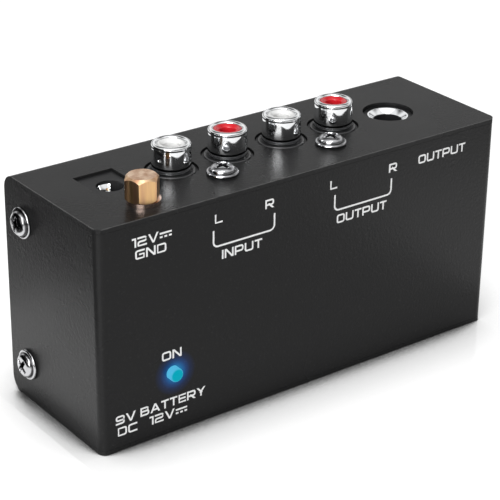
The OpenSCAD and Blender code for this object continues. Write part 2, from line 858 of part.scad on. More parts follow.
module board_screws() {
    color("silver")
    for (s = [-1, 1])
        translate([s * standoff_x, board_y - lap, standoff_z])
            rotate([90, 0, 0])
                difference() {
                    union() {
                        translate([0, 0, -5.5]) cylinder(r = screw_r, h = 5.5 + eps);
                        cylinder(r1 = 2.75, r2 = 2.2, h = 1.8);
                    }
                    for (a = [45, 135])
                        rotate([0, 0, a]) translate([-1.4, -0.35, 0.8]) cube([2.8, 0.7, 2]);
                }
}

// Two eight-pin amplifier chips soldered flat on the right-hand leg of the board
module op_amps() {
    lift = 0.15;
    lead = [0.4, 0.2, 0.6];
    color("#202225")
    for (z = chip_zs)
        translate([chip_x, board_y - lap - lift - chip.y, z]) {
            difference() {
                translate([-chip.x / 2, 0, -chip.z / 2]) cube(chip);
                translate([chip.x / 2 - 0.9, -0.1, chip.z / 2 - 0.9]) rod_y(0.4, 0.25);
            }
            for (i = [-1.5:1:1.5], s = [-1, 1])
                scale([1, 1, s])
                    translate([i * lamp_pitch - lead.x / 2, chip.y / 2, chip.z / 2 - eps]) {
                        cube([lead.x, lead.y, lead.z]);
                        translate([0, 0, lead.z - lead.y]) cube([lead.x, chip.y / 2 + lift, lead.y]);
                        translate([0, chip.y / 2 + lift - lead.y, lead.z - lead.y])
                            cube([lead.x, lead.y, lead.z]);
                    }
        }
}

// A radial part: a can or a box that stands on the board, its leads through it
module radial_can(x, z, r, h) {
    translate([x, board_y - lap, z])
        rotate([90, 0, 0])
            rotate_extrude() {
                difference() {
                    square([r, h]);
                    translate([r, 1.6]) circle(0.35);
                    translate([0, h - 0.25]) square([r * 0.8, 1]);
                }
            }
}

module electrolytic_capacitors() {
    supply_can_r = 3.15;
    supply_can_z = standoff_z + standoff_flats / 2 + supply_can_r + near_gap;
    color("#1d2b52") {
        radial_can(supply_can_r + 0.5 - board_half, supply_can_z, supply_can_r, 11.5);
        for (s = [-1, 1], z = can_zs)
            radial_can(s * can_x, z, can_r, 7);
    }
}

// Box film capacitors in a column beside the big socket
module film_capacitors() {
    left = big_x + big_body_w / 2 + near_gap;
    right = board_half - near_gap;
    size = [right - left, 6.6, 2.6];
    color("#b3261e")
    for (i = [0:3])
        translate([left, board_y - lap - size.y, board_top - size.z - 1.4 - i * 4.4])
            cube(size);
}

// An axial part that lies along Z, its two leads bent through the board
module axial_part(x, z, body_r, body_l) {
    r = axial_lead_r;
    translate([x, board_y - body_r - 0.1, z]) {
        translate([0, 0, -body_l / 2]) cylinder(r = body_r, h = body_l);
        for (s = [-1, 1]) {
            translate([0, 0, s > 0 ? body_l / 2 - eps : -body_l / 2 - axial_reach - r])
                cylinder(r = r, h = axial_reach + r + eps);
            translate([0, -r, s * (body_l / 2 + axial_reach)])
                rod_y(r, body_r + r + board_t + tail_out);
        }
    }
}

module resistors() {
    color("#c9b184")
    for (spot = resistor_spots)
        axial_part(spot.x, spot.y, 1.1, resistor_l);
}

// Small three-legged regulator with a flat face
module voltage_regulator() {
    color("#202225")
    translate([regulator_x, board_y, regulator_z])
        rotate([90, 0, 0]) {
            translate([0, 0, 3])
                linear_extrude(4.6)
                    difference() {
                        circle(2.4);
                        translate([-3, -4.4]) square([6, 3]);
                    }
            for (i = [-1, 0, 1])
                translate([i * lamp_pitch, 0, -board_t - tail_out])
                    cylinder(r = lead_r, h = board_t + tail_out + 3.1);
        }
}

module rectifier_diode() {
    color("#202225")
    translate([diode_x, 0, diode_z])
        rotate([0, 90, 0]) axial_part(0, 0, 1.3, diode_l);
}

// ---------- battery compartment ----------

// Moulded box that snaps into the back panel, with a rim outside and catches inside
module battery_box() {
    low = [bay_left - bay_wall, bay_z - bay_wall];
    high = [bay_right + bay_wall, bay_top + bay_wall];
    catch_y = back_in - lap;
    color("#1b1b1d")
    difference() {
        union() {
            span([low.x, bay_floor - bay_wall, low.y], [high.x, back_y + rim_t, high.y]);
            translate([0, back_y + rim_t, 0])
                rotate([90, 0, 0])
                    linear_extrude(rim_t - lap)
                        round_rect(low - [rim_w, rim_w], high + [rim_w, rim_w], 2);
            for (x = [bay_mid - 18, bay_mid + 18], s = [-1, 1])
                translate([x, 0, s > 0 ? high.y : low.y])
                    across(5)
                        polygon([[catch_y, -s * eps], [catch_y, s * 0.9], [catch_y - 3.5, -s * eps]]);
        }
        span([bay_left, bay_floor, bay_z], [bay_right, back_y + rim_t + 1, bay_top]);
        translate([bay_left - bay_wall - 1, hinge_y, hinge_z])
            rod_x(hinge_pin_r + fit_gap, bay_right - bay_left + 2 * bay_wall + 2);
        span([bay_mid - 6, back_y - eps, low.y - rim_w - 1], [bay_mid + 6, back_y + rim_t + 1, bay_z + eps]);
        span([bay_left - bay_wall - 1, wire_y - 1, wire_zs[0] - 1.2],
             [bay_left + eps, wire_y + 2, wire_zs[1] + 1.2]);
    }
}

// Door with a rolled hinge edge, two hinge pins, stiffening ribs and a finger tab
module battery_door() {
    left = bay_left + door_gap;
    right = bay_right - door_gap;
    low = bay_z + door_gap;
    pin_l = door_gap + bay_wall - 0.1;
    color("#1b1b1d") {
        span([left, door_in, low], [right, door_out, hinge_z]);
        translate([left, hinge_y, hinge_z]) rod_x(hinge_r, right - left);
        translate([left - pin_l, hinge_y, hinge_z]) rod_x(hinge_pin_r, pin_l + eps);
        translate([right - eps, hinge_y, hinge_z]) rod_x(hinge_pin_r, pin_l + eps);
        span([bay_mid - 5.6, back_y + 0.15, low - 2.2], [bay_mid + 5.6, door_out, low + eps]);
        for (z = [low + 6, low + 11, low + 16])
            span([bay_mid - 12, door_out - eps, z], [bay_mid + 12, door_out + 0.35, z + 1.4]);
        for (x = [bay_mid - 14, bay_mid + 14])
            span([x - 0.7, door_in - press_rib, low + 4], [x + 0.7, door_in + eps, hinge_z - 6]);
    }
}

module battery() {
    r = 2.6;
    color("#8c3b1f")
    translate([battery_left, 0, 0])
        rotate([90, 0, 90])
            linear_extrude(battery_right - battery_left)
                round_rect([battery_front, bay_mid_z - battery_w / 2],
                           [battery_back, bay_mid_z + battery_w / 2], r);
}

// Round and hexagonal snap terminals on the battery's left end
module battery_terminals() {
    color("silver") {
        translate([battery_left - terminal_h, terminal_y, bay_mid_z + terminal_off])
            rod_x(2.8, terminal_h - lap);
        translate([battery_left - terminal_h, terminal_y, bay_mid_z - terminal_off])
            rotate([0, 90, 0])
                difference() {
                    cylinder(r = 4, h = terminal_h - lap, $fn = 6);
                    translate([0, 0, -1]) cylinder(r = 3, h = terminal_h);
                }
    }
}

// Snap-on connector that clips over the terminals
module battery_snap() {
    x = battery_left - lap - clip_t;
    color("#202022")
    difference() {
        translate([x, 0, 0])
            rotate([90, 0, 90])
                linear_extrude(clip_t)
                    round_rect([terminal_y - 5.6, bay_mid_z - 12.2],
                               [terminal_y + 5.6, bay_mid_z + 12.2], 4);
        translate([x + clip_t - terminal_h - 0.2, terminal_y, bay_mid_z + terminal_off]) rod_x(3.3, 4);
        translate([x + clip_t - terminal_h - 0.2, terminal_y, bay_mid_z - terminal_off]) rod_x(4.4, 4);
    }
}

// Two leads from the connector to the back of the board
module battery_wires() {
    wire_r = 0.6;
    bend = 1.4;
    start = battery_left - clip_t - 2 * lap;
    corner = bay_left - bay_wall - 2.4;
    for (i = [0, 1])
        color(i == 0 ? "#101010" : "#c81e28")
        translate([0, 0, wire_zs[i]]) {
            translate([corner, wire_y, 0]) rod_x(wire_r, start - corner);
            translate([corner, wire_y - bend, 0])
                rotate([0, 0, 90])
                    rotate_extrude(angle = 90) translate([bend, 0]) circle(wire_r);
            translate([corner - bend, board_back + lap, 0])
                rod_y(wire_r, wire_y - bend - board_back - lap + eps);
        }
}

cover();
chassis();
case_screws();
housing_screws();
rubber_feet();
input_housing();
output_housing();
input_left_shell();
input_right_shell();
output_left_shell();
output_right_shell();
input_left_insulator();
input_right_insulator();
output_left_insulator();
output_right_insulator();
phono_contacts();
big_jack_body();
big_jack_bushing();
big_jack_contacts();
dc_jack_body();
dc_jack_pin();
dc_jack_contact();
ground_stud();
ground_lug();
ground_washer();
ground_nut();
ground_wire();
pilot_lamp();
lamp_spacer();
lamp_leads();
circuit_board();
board_standoffs();
board_screws();
op_amps();
electrolytic_capacitors();
film_capacitors();
resistors();
voltage_regulator();
rectifier_diode();
battery_box();
battery_door();
battery();
battery_terminals();
battery_snap();
battery_wires();
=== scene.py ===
# %% [markdown]
# # A small phono preamp
#
# This lesson dresses a phono preamp: a palm-sized black steel box that lifts a turntable's weak signal.
# Its connectors stand on the upper panel: a DC inlet, a ground post, two pairs of phono sockets and a
# quarter-inch socket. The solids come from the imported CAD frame, and they are never moved here.
# Every new piece rides on one of their bodies, so that it moves when a joint moves.

# %% Load the frame
import math

import bmesh
import bpy
from mathutils import Matrix, Vector


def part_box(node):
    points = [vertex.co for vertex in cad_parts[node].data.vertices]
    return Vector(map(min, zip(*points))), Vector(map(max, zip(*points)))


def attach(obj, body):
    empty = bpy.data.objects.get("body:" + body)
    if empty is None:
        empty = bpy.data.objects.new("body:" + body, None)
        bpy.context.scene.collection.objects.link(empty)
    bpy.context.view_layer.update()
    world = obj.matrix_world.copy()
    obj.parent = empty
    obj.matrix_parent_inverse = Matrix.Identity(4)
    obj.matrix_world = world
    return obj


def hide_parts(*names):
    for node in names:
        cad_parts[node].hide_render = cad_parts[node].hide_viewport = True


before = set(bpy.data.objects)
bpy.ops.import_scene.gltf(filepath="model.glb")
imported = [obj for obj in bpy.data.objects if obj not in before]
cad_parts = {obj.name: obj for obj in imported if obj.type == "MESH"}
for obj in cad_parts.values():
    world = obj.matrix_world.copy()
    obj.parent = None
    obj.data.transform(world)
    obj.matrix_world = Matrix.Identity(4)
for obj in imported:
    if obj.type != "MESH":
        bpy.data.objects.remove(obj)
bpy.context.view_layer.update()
MM = 0.001

# %% [markdown]
# ## Places on the box
#
# Everything that is added has to sit on something that the CAD already made. Reading a place from the
# box of a CAD node keeps the two in step: if the node moves in the source, the added piece follows.

# %% Places read from the frame
def middle(node):
    """The middle of a CAD node's box."""
    low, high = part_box(node)
    return (low + high) / 2


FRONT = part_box("cover")[0].y
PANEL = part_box("chassis")[1].z
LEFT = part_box("cover")[0].x
for node in ("cover", "input_left_shell", "ground_nut", "pilot_lamp"):
    print(node, [round(v / MM, 2) for v in middle(node)])

# %% [markdown]
# ## The camera
#
# The box is looked at from its left front corner and from above. A long lens keeps the upright edges
# nearly parallel, as product pictures do. A camera's matrix holds its right, up and backward directions
# as columns, so those three are worked out from a turn, a tip and a small roll.

# %% Camera
CAMERA_PLACE = Vector((-214.8, -282.55, 193.7)) * MM
CAMERA_TURN = math.radians(36.96)
CAMERA_TIP = math.radians(25.4)
CAMERA_ROLL = math.radians(0.74)
FOCAL_LENGTH = 129.6


def camera_matrix(place, turn, tip, roll):
    """The place and axes of a camera that is turned right, tipped down and rolled."""
    forward = Vector((math.sin(turn) * math.cos(tip), math.cos(turn) * math.cos(tip), -math.sin(tip)))
    right = Vector((math.cos(turn), -math.sin(turn), 0))
    up = right.cross(forward)
    axes = Matrix((right, up, -forward)).transposed().to_4x4()
    return Matrix.Translation(place) @ axes @ Matrix.Rotation(roll, 4, "Z")


camera = bpy.data.objects.new("camera", bpy.data.cameras.new("camera"))
camera.data.sensor_width = 36
camera.data.lens = FOCAL_LENGTH
camera.data.clip_start = 0.01
camera.data.clip_end = 10
camera.matrix_world = camera_matrix(CAMERA_PLACE, CAMERA_TURN, CAMERA_TIP, CAMERA_ROLL)
bpy.context.scene.collection.objects.link(camera)
bpy.context.scene.camera = camera
print("the camera is", round((CAMERA_PLACE - middle("cover")).length, 3), "m from the box")

# %% [markdown]
# ## Building node trees
#
# Both materials and Geometry Nodes are trees of nodes. Written out one call at a time they are long and
# hard to read, so a few helpers do the repeated work: one puts a node into a tree with its settings,
# plain values and links, one starts a group with named sockets, and one starts a material.

# %% Helpers for node trees
def put(tree, kind, values=None, links=None, **settings):
    """Adds one node: settings on the node, values on its sockets, and links into its sockets."""
    node = tree.nodes.new(kind)
    for name, value in settings.items():
        setattr(node, name, value)
    for name, value in (values or {}).items():
        node.inputs[name].default_value = value
    for name, socket in (links or {}).items():
        tree.links.new(socket, node.inputs[name])
    return node


def new_group(name, kind, inputs, outputs):
    """A node group with named sockets, and its input and output nodes."""
    tree = bpy.data.node_groups.new(name, kind)
    for label, socket_type, value in inputs:
        socket = tree.interface.new_socket(label, in_out="INPUT", socket_type=socket_type)
        if value is not None:
            socket.default_value = value
    for label, socket_type in outputs:
        tree.interface.new_socket(label, in_out="OUTPUT", socket_type=socket_type)
    return tree, put(tree, "NodeGroupInput").outputs, put(tree, "NodeGroupOutput").inputs


def new_material(name, **values):
    """A material, its tree, its Principled shader, and the Object coordinates that feed its pattern."""
    material = bpy.data.materials.new(name)
    material.use_nodes = True
    tree = material.node_tree
    shader = tree.nodes["Principled BSDF"]
    for label, value in values.items():
        shader.inputs[label.replace("_", " ")].default_value = value
    return material, tree, shader, put(tree, "ShaderNodeTexCoord").outputs["Object"]


print("the solids come with", len(bpy.data.materials), "plain materials")

# %% [markdown]
# Shaders work in linear light, while the values of a screen are curved, so a colour that is known from
# a screen is converted first. Where a colour follows a value, such as a distance or a height, a ramp
# does it: a list of stops, each of them a position from 0 to 1 and a colour.

# %% Colours
def ramp(tree, value, stops, interpolation="LINEAR"):
    """A colour that follows a value through stops of a position and a colour."""
    node = put(tree, "ShaderNodeValToRGB", None, {"Fac": value})
    node.color_ramp.interpolation = interpolation
    elements = node.color_ramp.elements
    elements[0].position, elements[0].color = stops[0]
    elements[1].position, elements[1].color = stops[-1]
    for position, colour in stops[1:-1]:
        elements.new(position).color = colour
    return node.outputs["Color"]


def grey(value):
    """A neutral colour in linear light."""
    return (value, value, value, 1.0)


def on_screen(red, green, blue):
    """The linear colour of a screen's 0 to 255 values."""
    return tuple(((v / 255 + 0.055) / 1.055) ** 2.4 for v in (red, green, blue)) + (1.0,)


print("a screen's middle grey is", round(on_screen(128, 128, 128)[0], 3), "in linear light")

# %% [markdown]
# ## Effects that several finishes share
#
# Real surfaces differ from each other mostly in a few ways: a fine grain, a slow smudge that changes
# the gloss, wear along edges, and the lines that a lathe leaves. Each of them is one node group with
# its own size inputs. A group gives out only a mask or a height, and the shader stays in the material.
# The first is the grain of paint, moulded plastic and rubber: noise, whose peaks also serve as specks.

# %% Grain
grain, entry, result = new_group(
    "grain", "ShaderNodeTree",
    [("Vector", "NodeSocketVector", None), ("Bumps per metre", "NodeSocketFloat", 3000.0)],
    [("Height", "NodeSocketFloat"), ("Specks", "NodeSocketFloat")])
bumps = put(grain, "ShaderNodeTexNoise", {"Detail": 3.0, "Roughness": 0.6},
            {"Vector": entry["Vector"], "Scale": entry["Bumps per metre"]})
specks = put(grain, "ShaderNodeMapRange", {"From Min": 0.58, "From Max": 0.74},
             {"Value": bumps.outputs["Fac"]}, interpolation_type="SMOOTHSTEP")
grain.links.new(bumps.outputs["Fac"], result["Height"])
grain.links.new(specks.outputs["Result"], result["Specks"])
print("grain gives", [socket.name for socket in result if socket.name])

# %% [markdown]
# No handled surface is equally glossy all over: skin grease and polish leave slow patches. A coarse
# noise that runs between two values does that, and it feeds the roughness of nearly every finish.

# %% Smudge
smudge, entry, result = new_group(
    "smudge", "ShaderNodeTree",
    [("Vector", "NodeSocketVector", None), ("Patches per metre", "NodeSocketFloat", 60.0),
     ("Low", "NodeSocketFloat", 0.3), ("High", "NodeSocketFloat", 0.5)],
    [("Value", "NodeSocketFloat")])
patches = put(smudge, "ShaderNodeTexNoise", {"Detail": 4.0, "Roughness": 0.55},
              {"Vector": entry["Vector"], "Scale": entry["Patches per metre"]})
spread = put(smudge, "ShaderNodeMapRange", {"From Min": 0.3, "From Max": 0.7},
             {"Value": patches.outputs["Fac"], "To Min": entry["Low"], "To Max": entry["High"]})
smudge.links.new(spread.outputs["Result"], result["Value"])
print("smudge gives", [socket.name for socket in result if socket.name])

# %% [markdown]
# A lathe leaves fine rings round its axis. Noise that is drawn out along X and Y, but not along Z, has
# the same height all round an upright part and changes quickly up its side, just as those rings do.

# %% Turned lines
turned, entry, result = new_group(
    "turned lines", "ShaderNodeTree",
    [("Vector", "NodeSocketVector", None), ("Lines per metre", "NodeSocketFloat", 9000.0)],
    [("Height", "NodeSocketFloat")])
flattened = put(turned, "ShaderNodeVectorMath", {1: (0.03, 0.03, 1.0)}, {0: entry["Vector"]},
                operation="MULTIPLY")
rings = put(turned, "ShaderNodeTexNoise", {"Detail": 2.0},
            {"Vector": flattened.outputs[0], "Scale": entry["Lines per metre"]})
turned.links.new(rings.outputs["Fac"], result["Height"])
print("turned lines give", [socket.name for socket in result if socket.name])

# %% [markdown]
# Wear gathers where hands and tables touch: along the edges of a box. On the case the same mask also
# paints a pale edge highlight. Near an edge a point is close to two faces at once, so the second smallest
# of its three distances to the faces is small. That gives a mask from Object coordinates alone, which
# works however coarse the mesh is. Noise breaks the line up.

# %% Edge wear
def join(tree, operation, first, second):
    """One Math node between two sockets, or between a socket and a plain number."""
    node = put(tree, "ShaderNodeMath", None, {0: first}, operation=operation)
    if isinstance(second, (int, float)):
        node.inputs[1].default_value = second
    else:
        tree.links.new(second, node.inputs[1])
    return node.outputs[0]


edge_wear_and_highlight, entry, result = new_group(
    "edge wear and highlight", "ShaderNodeTree",
    [("Vector", "NodeSocketVector", None), ("Centre", "NodeSocketVector", None),
     ("Half size", "NodeSocketVector", None), ("Width", "NodeSocketFloat", 0.0008)],
    [("Mask", "NodeSocketFloat")])
moved = put(edge_wear_and_highlight, "ShaderNodeVectorMath", None, {0: entry["Vector"], 1: entry["Centre"]},
            operation="SUBTRACT")
folded = put(edge_wear_and_highlight, "ShaderNodeVectorMath", None, {0: moved.outputs[0]}, operation="ABSOLUTE")
inward = put(edge_wear_and_highlight, "ShaderNodeVectorMath", None, {0: entry["Half size"], 1: folded.outputs[0]},
             operation="SUBTRACT")
depth = put(edge_wear_and_highlight, "ShaderNodeVectorMath", None, {0: inward.outputs[0]}, operation="ABSOLUTE")
dx, dy, dz = put(edge_wear_and_highlight, "ShaderNodeSeparateXYZ", None, {0: depth.outputs[0]}).outputs
least = join(edge_wear_and_highlight, "MINIMUM", join(edge_wear_and_highlight, "MINIMUM", dx, dy), dz)
most = join(edge_wear_and_highlight, "MAXIMUM", join(edge_wear_and_highlight, "MAXIMUM", dx, dy), dz)
total = join(edge_wear_and_highlight, "ADD", join(edge_wear_and_highlight, "ADD", dx, dy), dz)
second = join(edge_wear_and_highlight, "SUBTRACT", join(edge_wear_and_highlight, "SUBTRACT", total, least), most)
chips = put(edge_wear_and_highlight, "ShaderNodeTexNoise", {"Scale": 700.0, "Detail": 5.0}, {"Vector": entry["Vector"]})
reach = join(edge_wear_and_highlight, "MULTIPLY", entry["Width"], chips.outputs["Fac"])
wear_and_highlight = put(edge_wear_and_highlight, "ShaderNodeMapRange", {"From Min": 0.0, "To Min": 1.0, "To Max": 0.0},
           {"Value": second, "From Max": reach}, interpolation_type="SMOOTHSTEP")
edge_wear_and_highlight.links.new(wear_and_highlight.outputs["Result"], result["Mask"])
print("shared groups:", [tree.name for tree in (grain, smudge, turned, edge_wear_and_highlight)])

# %% [markdown]
# ## Helpers for finishes
#
# A finish starts from a Principled shader with its plain values, and then gets a gloss that drifts and
# a fine relief. These helpers join those effects to any shader, so that a new finish is a few lines.

# %% Helpers that join the shared effects to a shader
def use_group(tree, group, place, **values):
    """Places a shared group in a material, with its own values."""
    node = put(tree, "ShaderNodeGroup", None, None, node_tree=group)
    for label, value in values.items():
        node.inputs[label.replace("_", " ")].default_value = value
    tree.links.new(place, node.inputs["Vector"])
    return node


def vary_gloss(tree, shader, place, low, high, patches=80.0):
    """Lets the roughness drift slowly between two values."""
    node = use_group(tree, smudge, place, Low=low, High=high, Patches_per_metre=patches)
    tree.links.new(node.outputs["Value"], shader.inputs["Roughness"])


def relief(tree, shader, height, depth_mm, strength=1.0):
    """Raises a height into small bumps of the given depth."""
    bump = put(tree, "ShaderNodeBump", {"Strength": strength, "Distance": depth_mm * MM}, {"Height": height})
    tree.links.new(bump.outputs["Normal"], shader.inputs["Normal"])


def tint(tree, mask, first, second):
    """A colour that goes from the first to the second where the mask is white."""
    node = put(tree, "ShaderNodeMix", None, {0: mask}, data_type="RGBA")
    for index, colour in ((6, first), (7, second)):
        if isinstance(colour, tuple):
            node.inputs[index].default_value = colour
        else:
            tree.links.new(colour, node.inputs[index])
    return node.outputs[2]


def dress(material, *nodes):
    """Gives CAD nodes a new finish."""
    for name in nodes:
        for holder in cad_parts[name].material_slots:
            holder.material = material


print("the cover comes with", len(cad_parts["cover"].material_slots), "slot for a finish")

# %% [markdown]
# ## Moulded plastics, rubber and sleeves
#
# Most small parts are moulded. They share one recipe: a base colour with faint specks, a gloss that
# drifts, and a fine grain from the tool's surface. One function makes them all from a few values.

# %% Moulded finishes
def moulded(name, colour, gloss, grain_mm=0.02, bumps=2500.0, speck=0.85, **values):
    """A moulded material: gloss is the lowest and highest roughness."""
    material, tree, shader, place = new_material(name, **values)
    surface = use_group(tree, grain, place, Bumps_per_metre=bumps)
    darker = tuple(c * speck for c in colour[:3]) + (1.0,)
    tree.links.new(tint(tree, surface.outputs["Specks"], colour, darker), shader.inputs["Base Color"])
    vary_gloss(tree, shader, place, *gloss)
    relief(tree, shader, surface.outputs["Height"], grain_mm)
    return material


black_plastic = moulded("black_plastic", on_screen(38, 38, 39), (0.38, 0.55), 0.03, 2200.0)
jack_plastic = moulded("jack_plastic", on_screen(30, 30, 31), (0.3, 0.42), 0.012, 2600.0,
                       Specular_IOR_Level=0.13)
# The boss rims get a paler copy of the housing plastic, as a painted highlight along their crest.
rim_highlight_plastic = moulded("rim_highlight_plastic", on_screen(62, 62, 63), (0.2, 0.3), 0.008, 2600.0)
white_plastic = moulded("white_plastic", on_screen(218, 218, 217), (0.22, 0.34), 0.004, 1800.0, 0.97)
red_plastic = moulded("red_plastic", on_screen(190, 30, 40), (0.2, 0.32), 0.004, 1800.0, 0.93)
rubber = moulded("foot_rubber", on_screen(34, 34, 35), (0.6, 0.8), 0.06, 1500.0)
chip_resin = moulded("chip_resin", on_screen(33, 34, 36), (0.45, 0.6), 0.02, 6000.0)
film_case = moulded("capacitor_case", on_screen(168, 38, 28), (0.3, 0.42), 0.008, 2500.0)
snap_vinyl = moulded("snap_vinyl", on_screen(30, 30, 31), (0.3, 0.45), 0.03, 1200.0)
green_vinyl = moulded("green_wire", on_screen(32, 120, 60), (0.3, 0.42), 0.01, 1500.0)
dress(black_plastic, "battery_box", "battery_door", "lamp_spacer")
dress(jack_plastic, "input_housing", "output_housing", "big_jack_body", "dc_jack_body")
dress(rubber, "rubber_feet")
dress(chip_resin, "voltage_regulator", "rectifier_diode")
dress(film_case, "film_capacitors")
dress(snap_vinyl, "battery_snap")
dress(green_vinyl, "ground_wire")
print("moulded finishes:",
      [m.name for m in (black_plastic, jack_plastic, rim_highlight_plastic, white_plastic, red_plastic, rubber,
                        chip_resin, film_case, snap_vinyl, green_vinyl)])

# %% [markdown]
# ## Parts in two finishes
#
# Some CAD nodes hold parts of two kinds: a red and a black wire, chips and their tinned legs, cans and
# their bare metal tops. One finish can serve both when a mask says which is which. Each mask here is a
# plain comparison of a place, or of the way that a face points.

# %% Masks by place
def split(tree, place, axis):
    """One coordinate of a place."""
    return put(tree, "ShaderNodeSeparateXYZ", None, {0: place}).outputs[axis]


def off_by(tree, value, centre):
    """How far a value is from a centre, on either side."""
    away = join(tree, "SUBTRACT", value, centre)
    return put(tree, "ShaderNodeMath", None, {0: away}, operation="ABSOLUTE").outputs[0]


def above(tree, value, limit):
    """A mask that is white where a value is over a limit."""
    return join(tree, "GREATER_THAN", value, limit)


def faces(tree, axis):
    """How much a face points along an axis, from -1 to 1."""
    return split(tree, put(tree, "ShaderNodeNewGeometry").outputs["Normal"], axis)


def two_part(name, mask_of, first, second, gloss, metal_second=True):
    """A finish of two colours; where the mask is white, the second may be metal."""
    material, tree, shader, place = new_material(name)
    mask = mask_of(tree, place)
    tree.links.new(tint(tree, mask, first, second), shader.inputs["Base Color"])
    if metal_second:
        tree.links.new(mask, shader.inputs["Metallic"])
    vary_gloss(tree, shader, place, *gloss, patches=300.0)
    fine = use_group(tree, grain, place, Bumps_per_metre=3000.0)
    relief(tree, shader, fine.outputs["Height"], 0.01)
    return material


# %% [markdown]
# The upper of the two battery wires is red. A chip's tinned legs stand out above and below its body,
# and a can's bare top faces away from the board. Each of these is one comparison, and its mask both
# changes the colour and, except on the wires, turns the surface to metal.

# %% Wires, chips and cans
def upper_wire(tree, place):
    """White on the upper of the two battery wires."""
    return above(tree, split(tree, place, "Z"), middle("battery_wires").z)


CHIP_HALF = 1.95 * MM
LEG_REACH = 2.95 * MM


def chip_legs(tree, place):
    """White on the legs of the two chips, which stand out above and below each body."""
    low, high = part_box("op_amps")
    apart = (high.z - low.z) / 2 - LEG_REACH
    from_middle = off_by(tree, split(tree, place, "Z"), (low.z + high.z) / 2)
    return above(tree, off_by(tree, from_middle, apart), CHIP_HALF)


def can_tops(tree, _place):
    """White on faces that point away from the board."""
    return above(tree, join(tree, "MULTIPLY", faces(tree, "Y"), -1.0), 0.9)


BLACK_VINYL, RED_VINYL = on_screen(26, 26, 27), on_screen(176, 26, 24)
RESIN, LEG_TIN = on_screen(33, 34, 36), (0.7, 0.7, 0.68, 1.0)
BLUE_SLEEVE, CAN_METAL = on_screen(24, 36, 78), (0.75, 0.76, 0.77, 1.0)
dress(two_part("wire_vinyl", upper_wire, BLACK_VINYL, RED_VINYL, (0.3, 0.42), False), "battery_wires")
dress(two_part("chip_resin_and_legs", chip_legs, RESIN, LEG_TIN, (0.3, 0.45)), "op_amps")
dress(two_part("capacitor_sleeve", can_tops, BLUE_SLEEVE, CAN_METAL, (0.22, 0.34)), "electrolytic_capacitors")
print("the wires are split at", round(middle("battery_wires").z / MM, 2), "mm")

# %% [markdown]
# A resistor tells its value by painted rings. The two resistors stand upright at different heights, so
# the colour follows the height over each one's own middle, and steps through a ramp without blending.

# %% Colour bands of the resistors
RESISTOR_HALF = 3 * MM
BARE_LEAD, TAN = (0.6, 0.6, 0.58, 1.0), on_screen(196, 176, 132)
BROWN, BLACK, ORANGE, GOLD = (on_screen(92, 52, 24), on_screen(24, 22, 22), on_screen(214, 110, 26),
                              on_screen(176, 138, 50))
coat, tree, shader, place = new_material("resistor_coat")
corners = [vertex.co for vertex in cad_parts["resistors"].data.vertices]
levels = []
for side in (-1, 1):
    heights = [corner.z for corner in corners if corner.x * side > 0]
    levels.append((min(heights) + max(heights)) / 2)
right_side = above(tree, split(tree, place, "X"), 0.0)
centre_level = put(tree, "ShaderNodeMapRange", {"To Min": levels[0], "To Max": levels[1]},
                   {"Value": right_side})
along = join(tree, "SUBTRACT", split(tree, place, "Z"), centre_level.outputs[0])
share = put(tree, "ShaderNodeMapRange", {"From Min": -RESISTOR_HALF, "From Max": RESISTOR_HALF},
            {"Value": along})
bands = ramp(tree, share.outputs[0],
             [(0.0, BARE_LEAD), (0.002, TAN), (0.14, BROWN), (0.23, TAN), (0.33, BLACK), (0.42, TAN),
              (0.52, ORANGE), (0.61, TAN), (0.78, GOLD), (0.87, TAN), (0.998, BARE_LEAD)], "CONSTANT")
tree.links.new(bands, shader.inputs["Base Color"])
vary_gloss(tree, shader, place, 0.3, 0.45)
lacquer = use_group(tree, grain, place, Bumps_per_metre=3000.0)
relief(tree, shader, lacquer.outputs["Height"], 0.01)
dress(coat, "resistors")
print("resistors are centred at", [round(level / MM, 1) for level in levels], "mm")

# %% [markdown]
# ## Metals
#
# The shells are chrome over brass, turned on a lathe: a mirror with fine rings that stretch every
# highlight along the axis. Contacts are tinned, and the ground post is brass and copper. All are
# metallic shaders, which differ in their colour, their gloss and the direction of their lines.

# %% Recipe for turned or plain metal
def metal(name, colour, gloss, line_mm, lines=6000.0, patches=300.0, around_axis=True):
    """A bare or plated metal, with turned rings or with a plain fine grain."""
    material, tree, shader, place = new_material(name, Metallic=1.0)
    surface = use_group(tree, grain, place, Bumps_per_metre=lines / 2)
    darker = tuple(c * 0.9 for c in colour[:3]) + (1.0,)
    tree.links.new(tint(tree, surface.outputs["Specks"], colour, darker), shader.inputs["Base Color"])
    vary_gloss(tree, shader, place, *gloss, patches=patches)
    if around_axis:
        surface = use_group(tree, turned, place, Lines_per_metre=lines)
    relief(tree, shader, surface.outputs["Height"], line_mm)
    return material


print("metals share", turned.name, "and", grain.name)

# %% [markdown]
# The ground nut is cut from drawn bar, so its lines run up and down, tarnish lies on it in patches and
# its top is redder. A screw head is pressed and then plated: bright on its crown, with shallow dents. Its
# recess and the groove round its crown are painted nearly black, as painted shade where little light gets in.

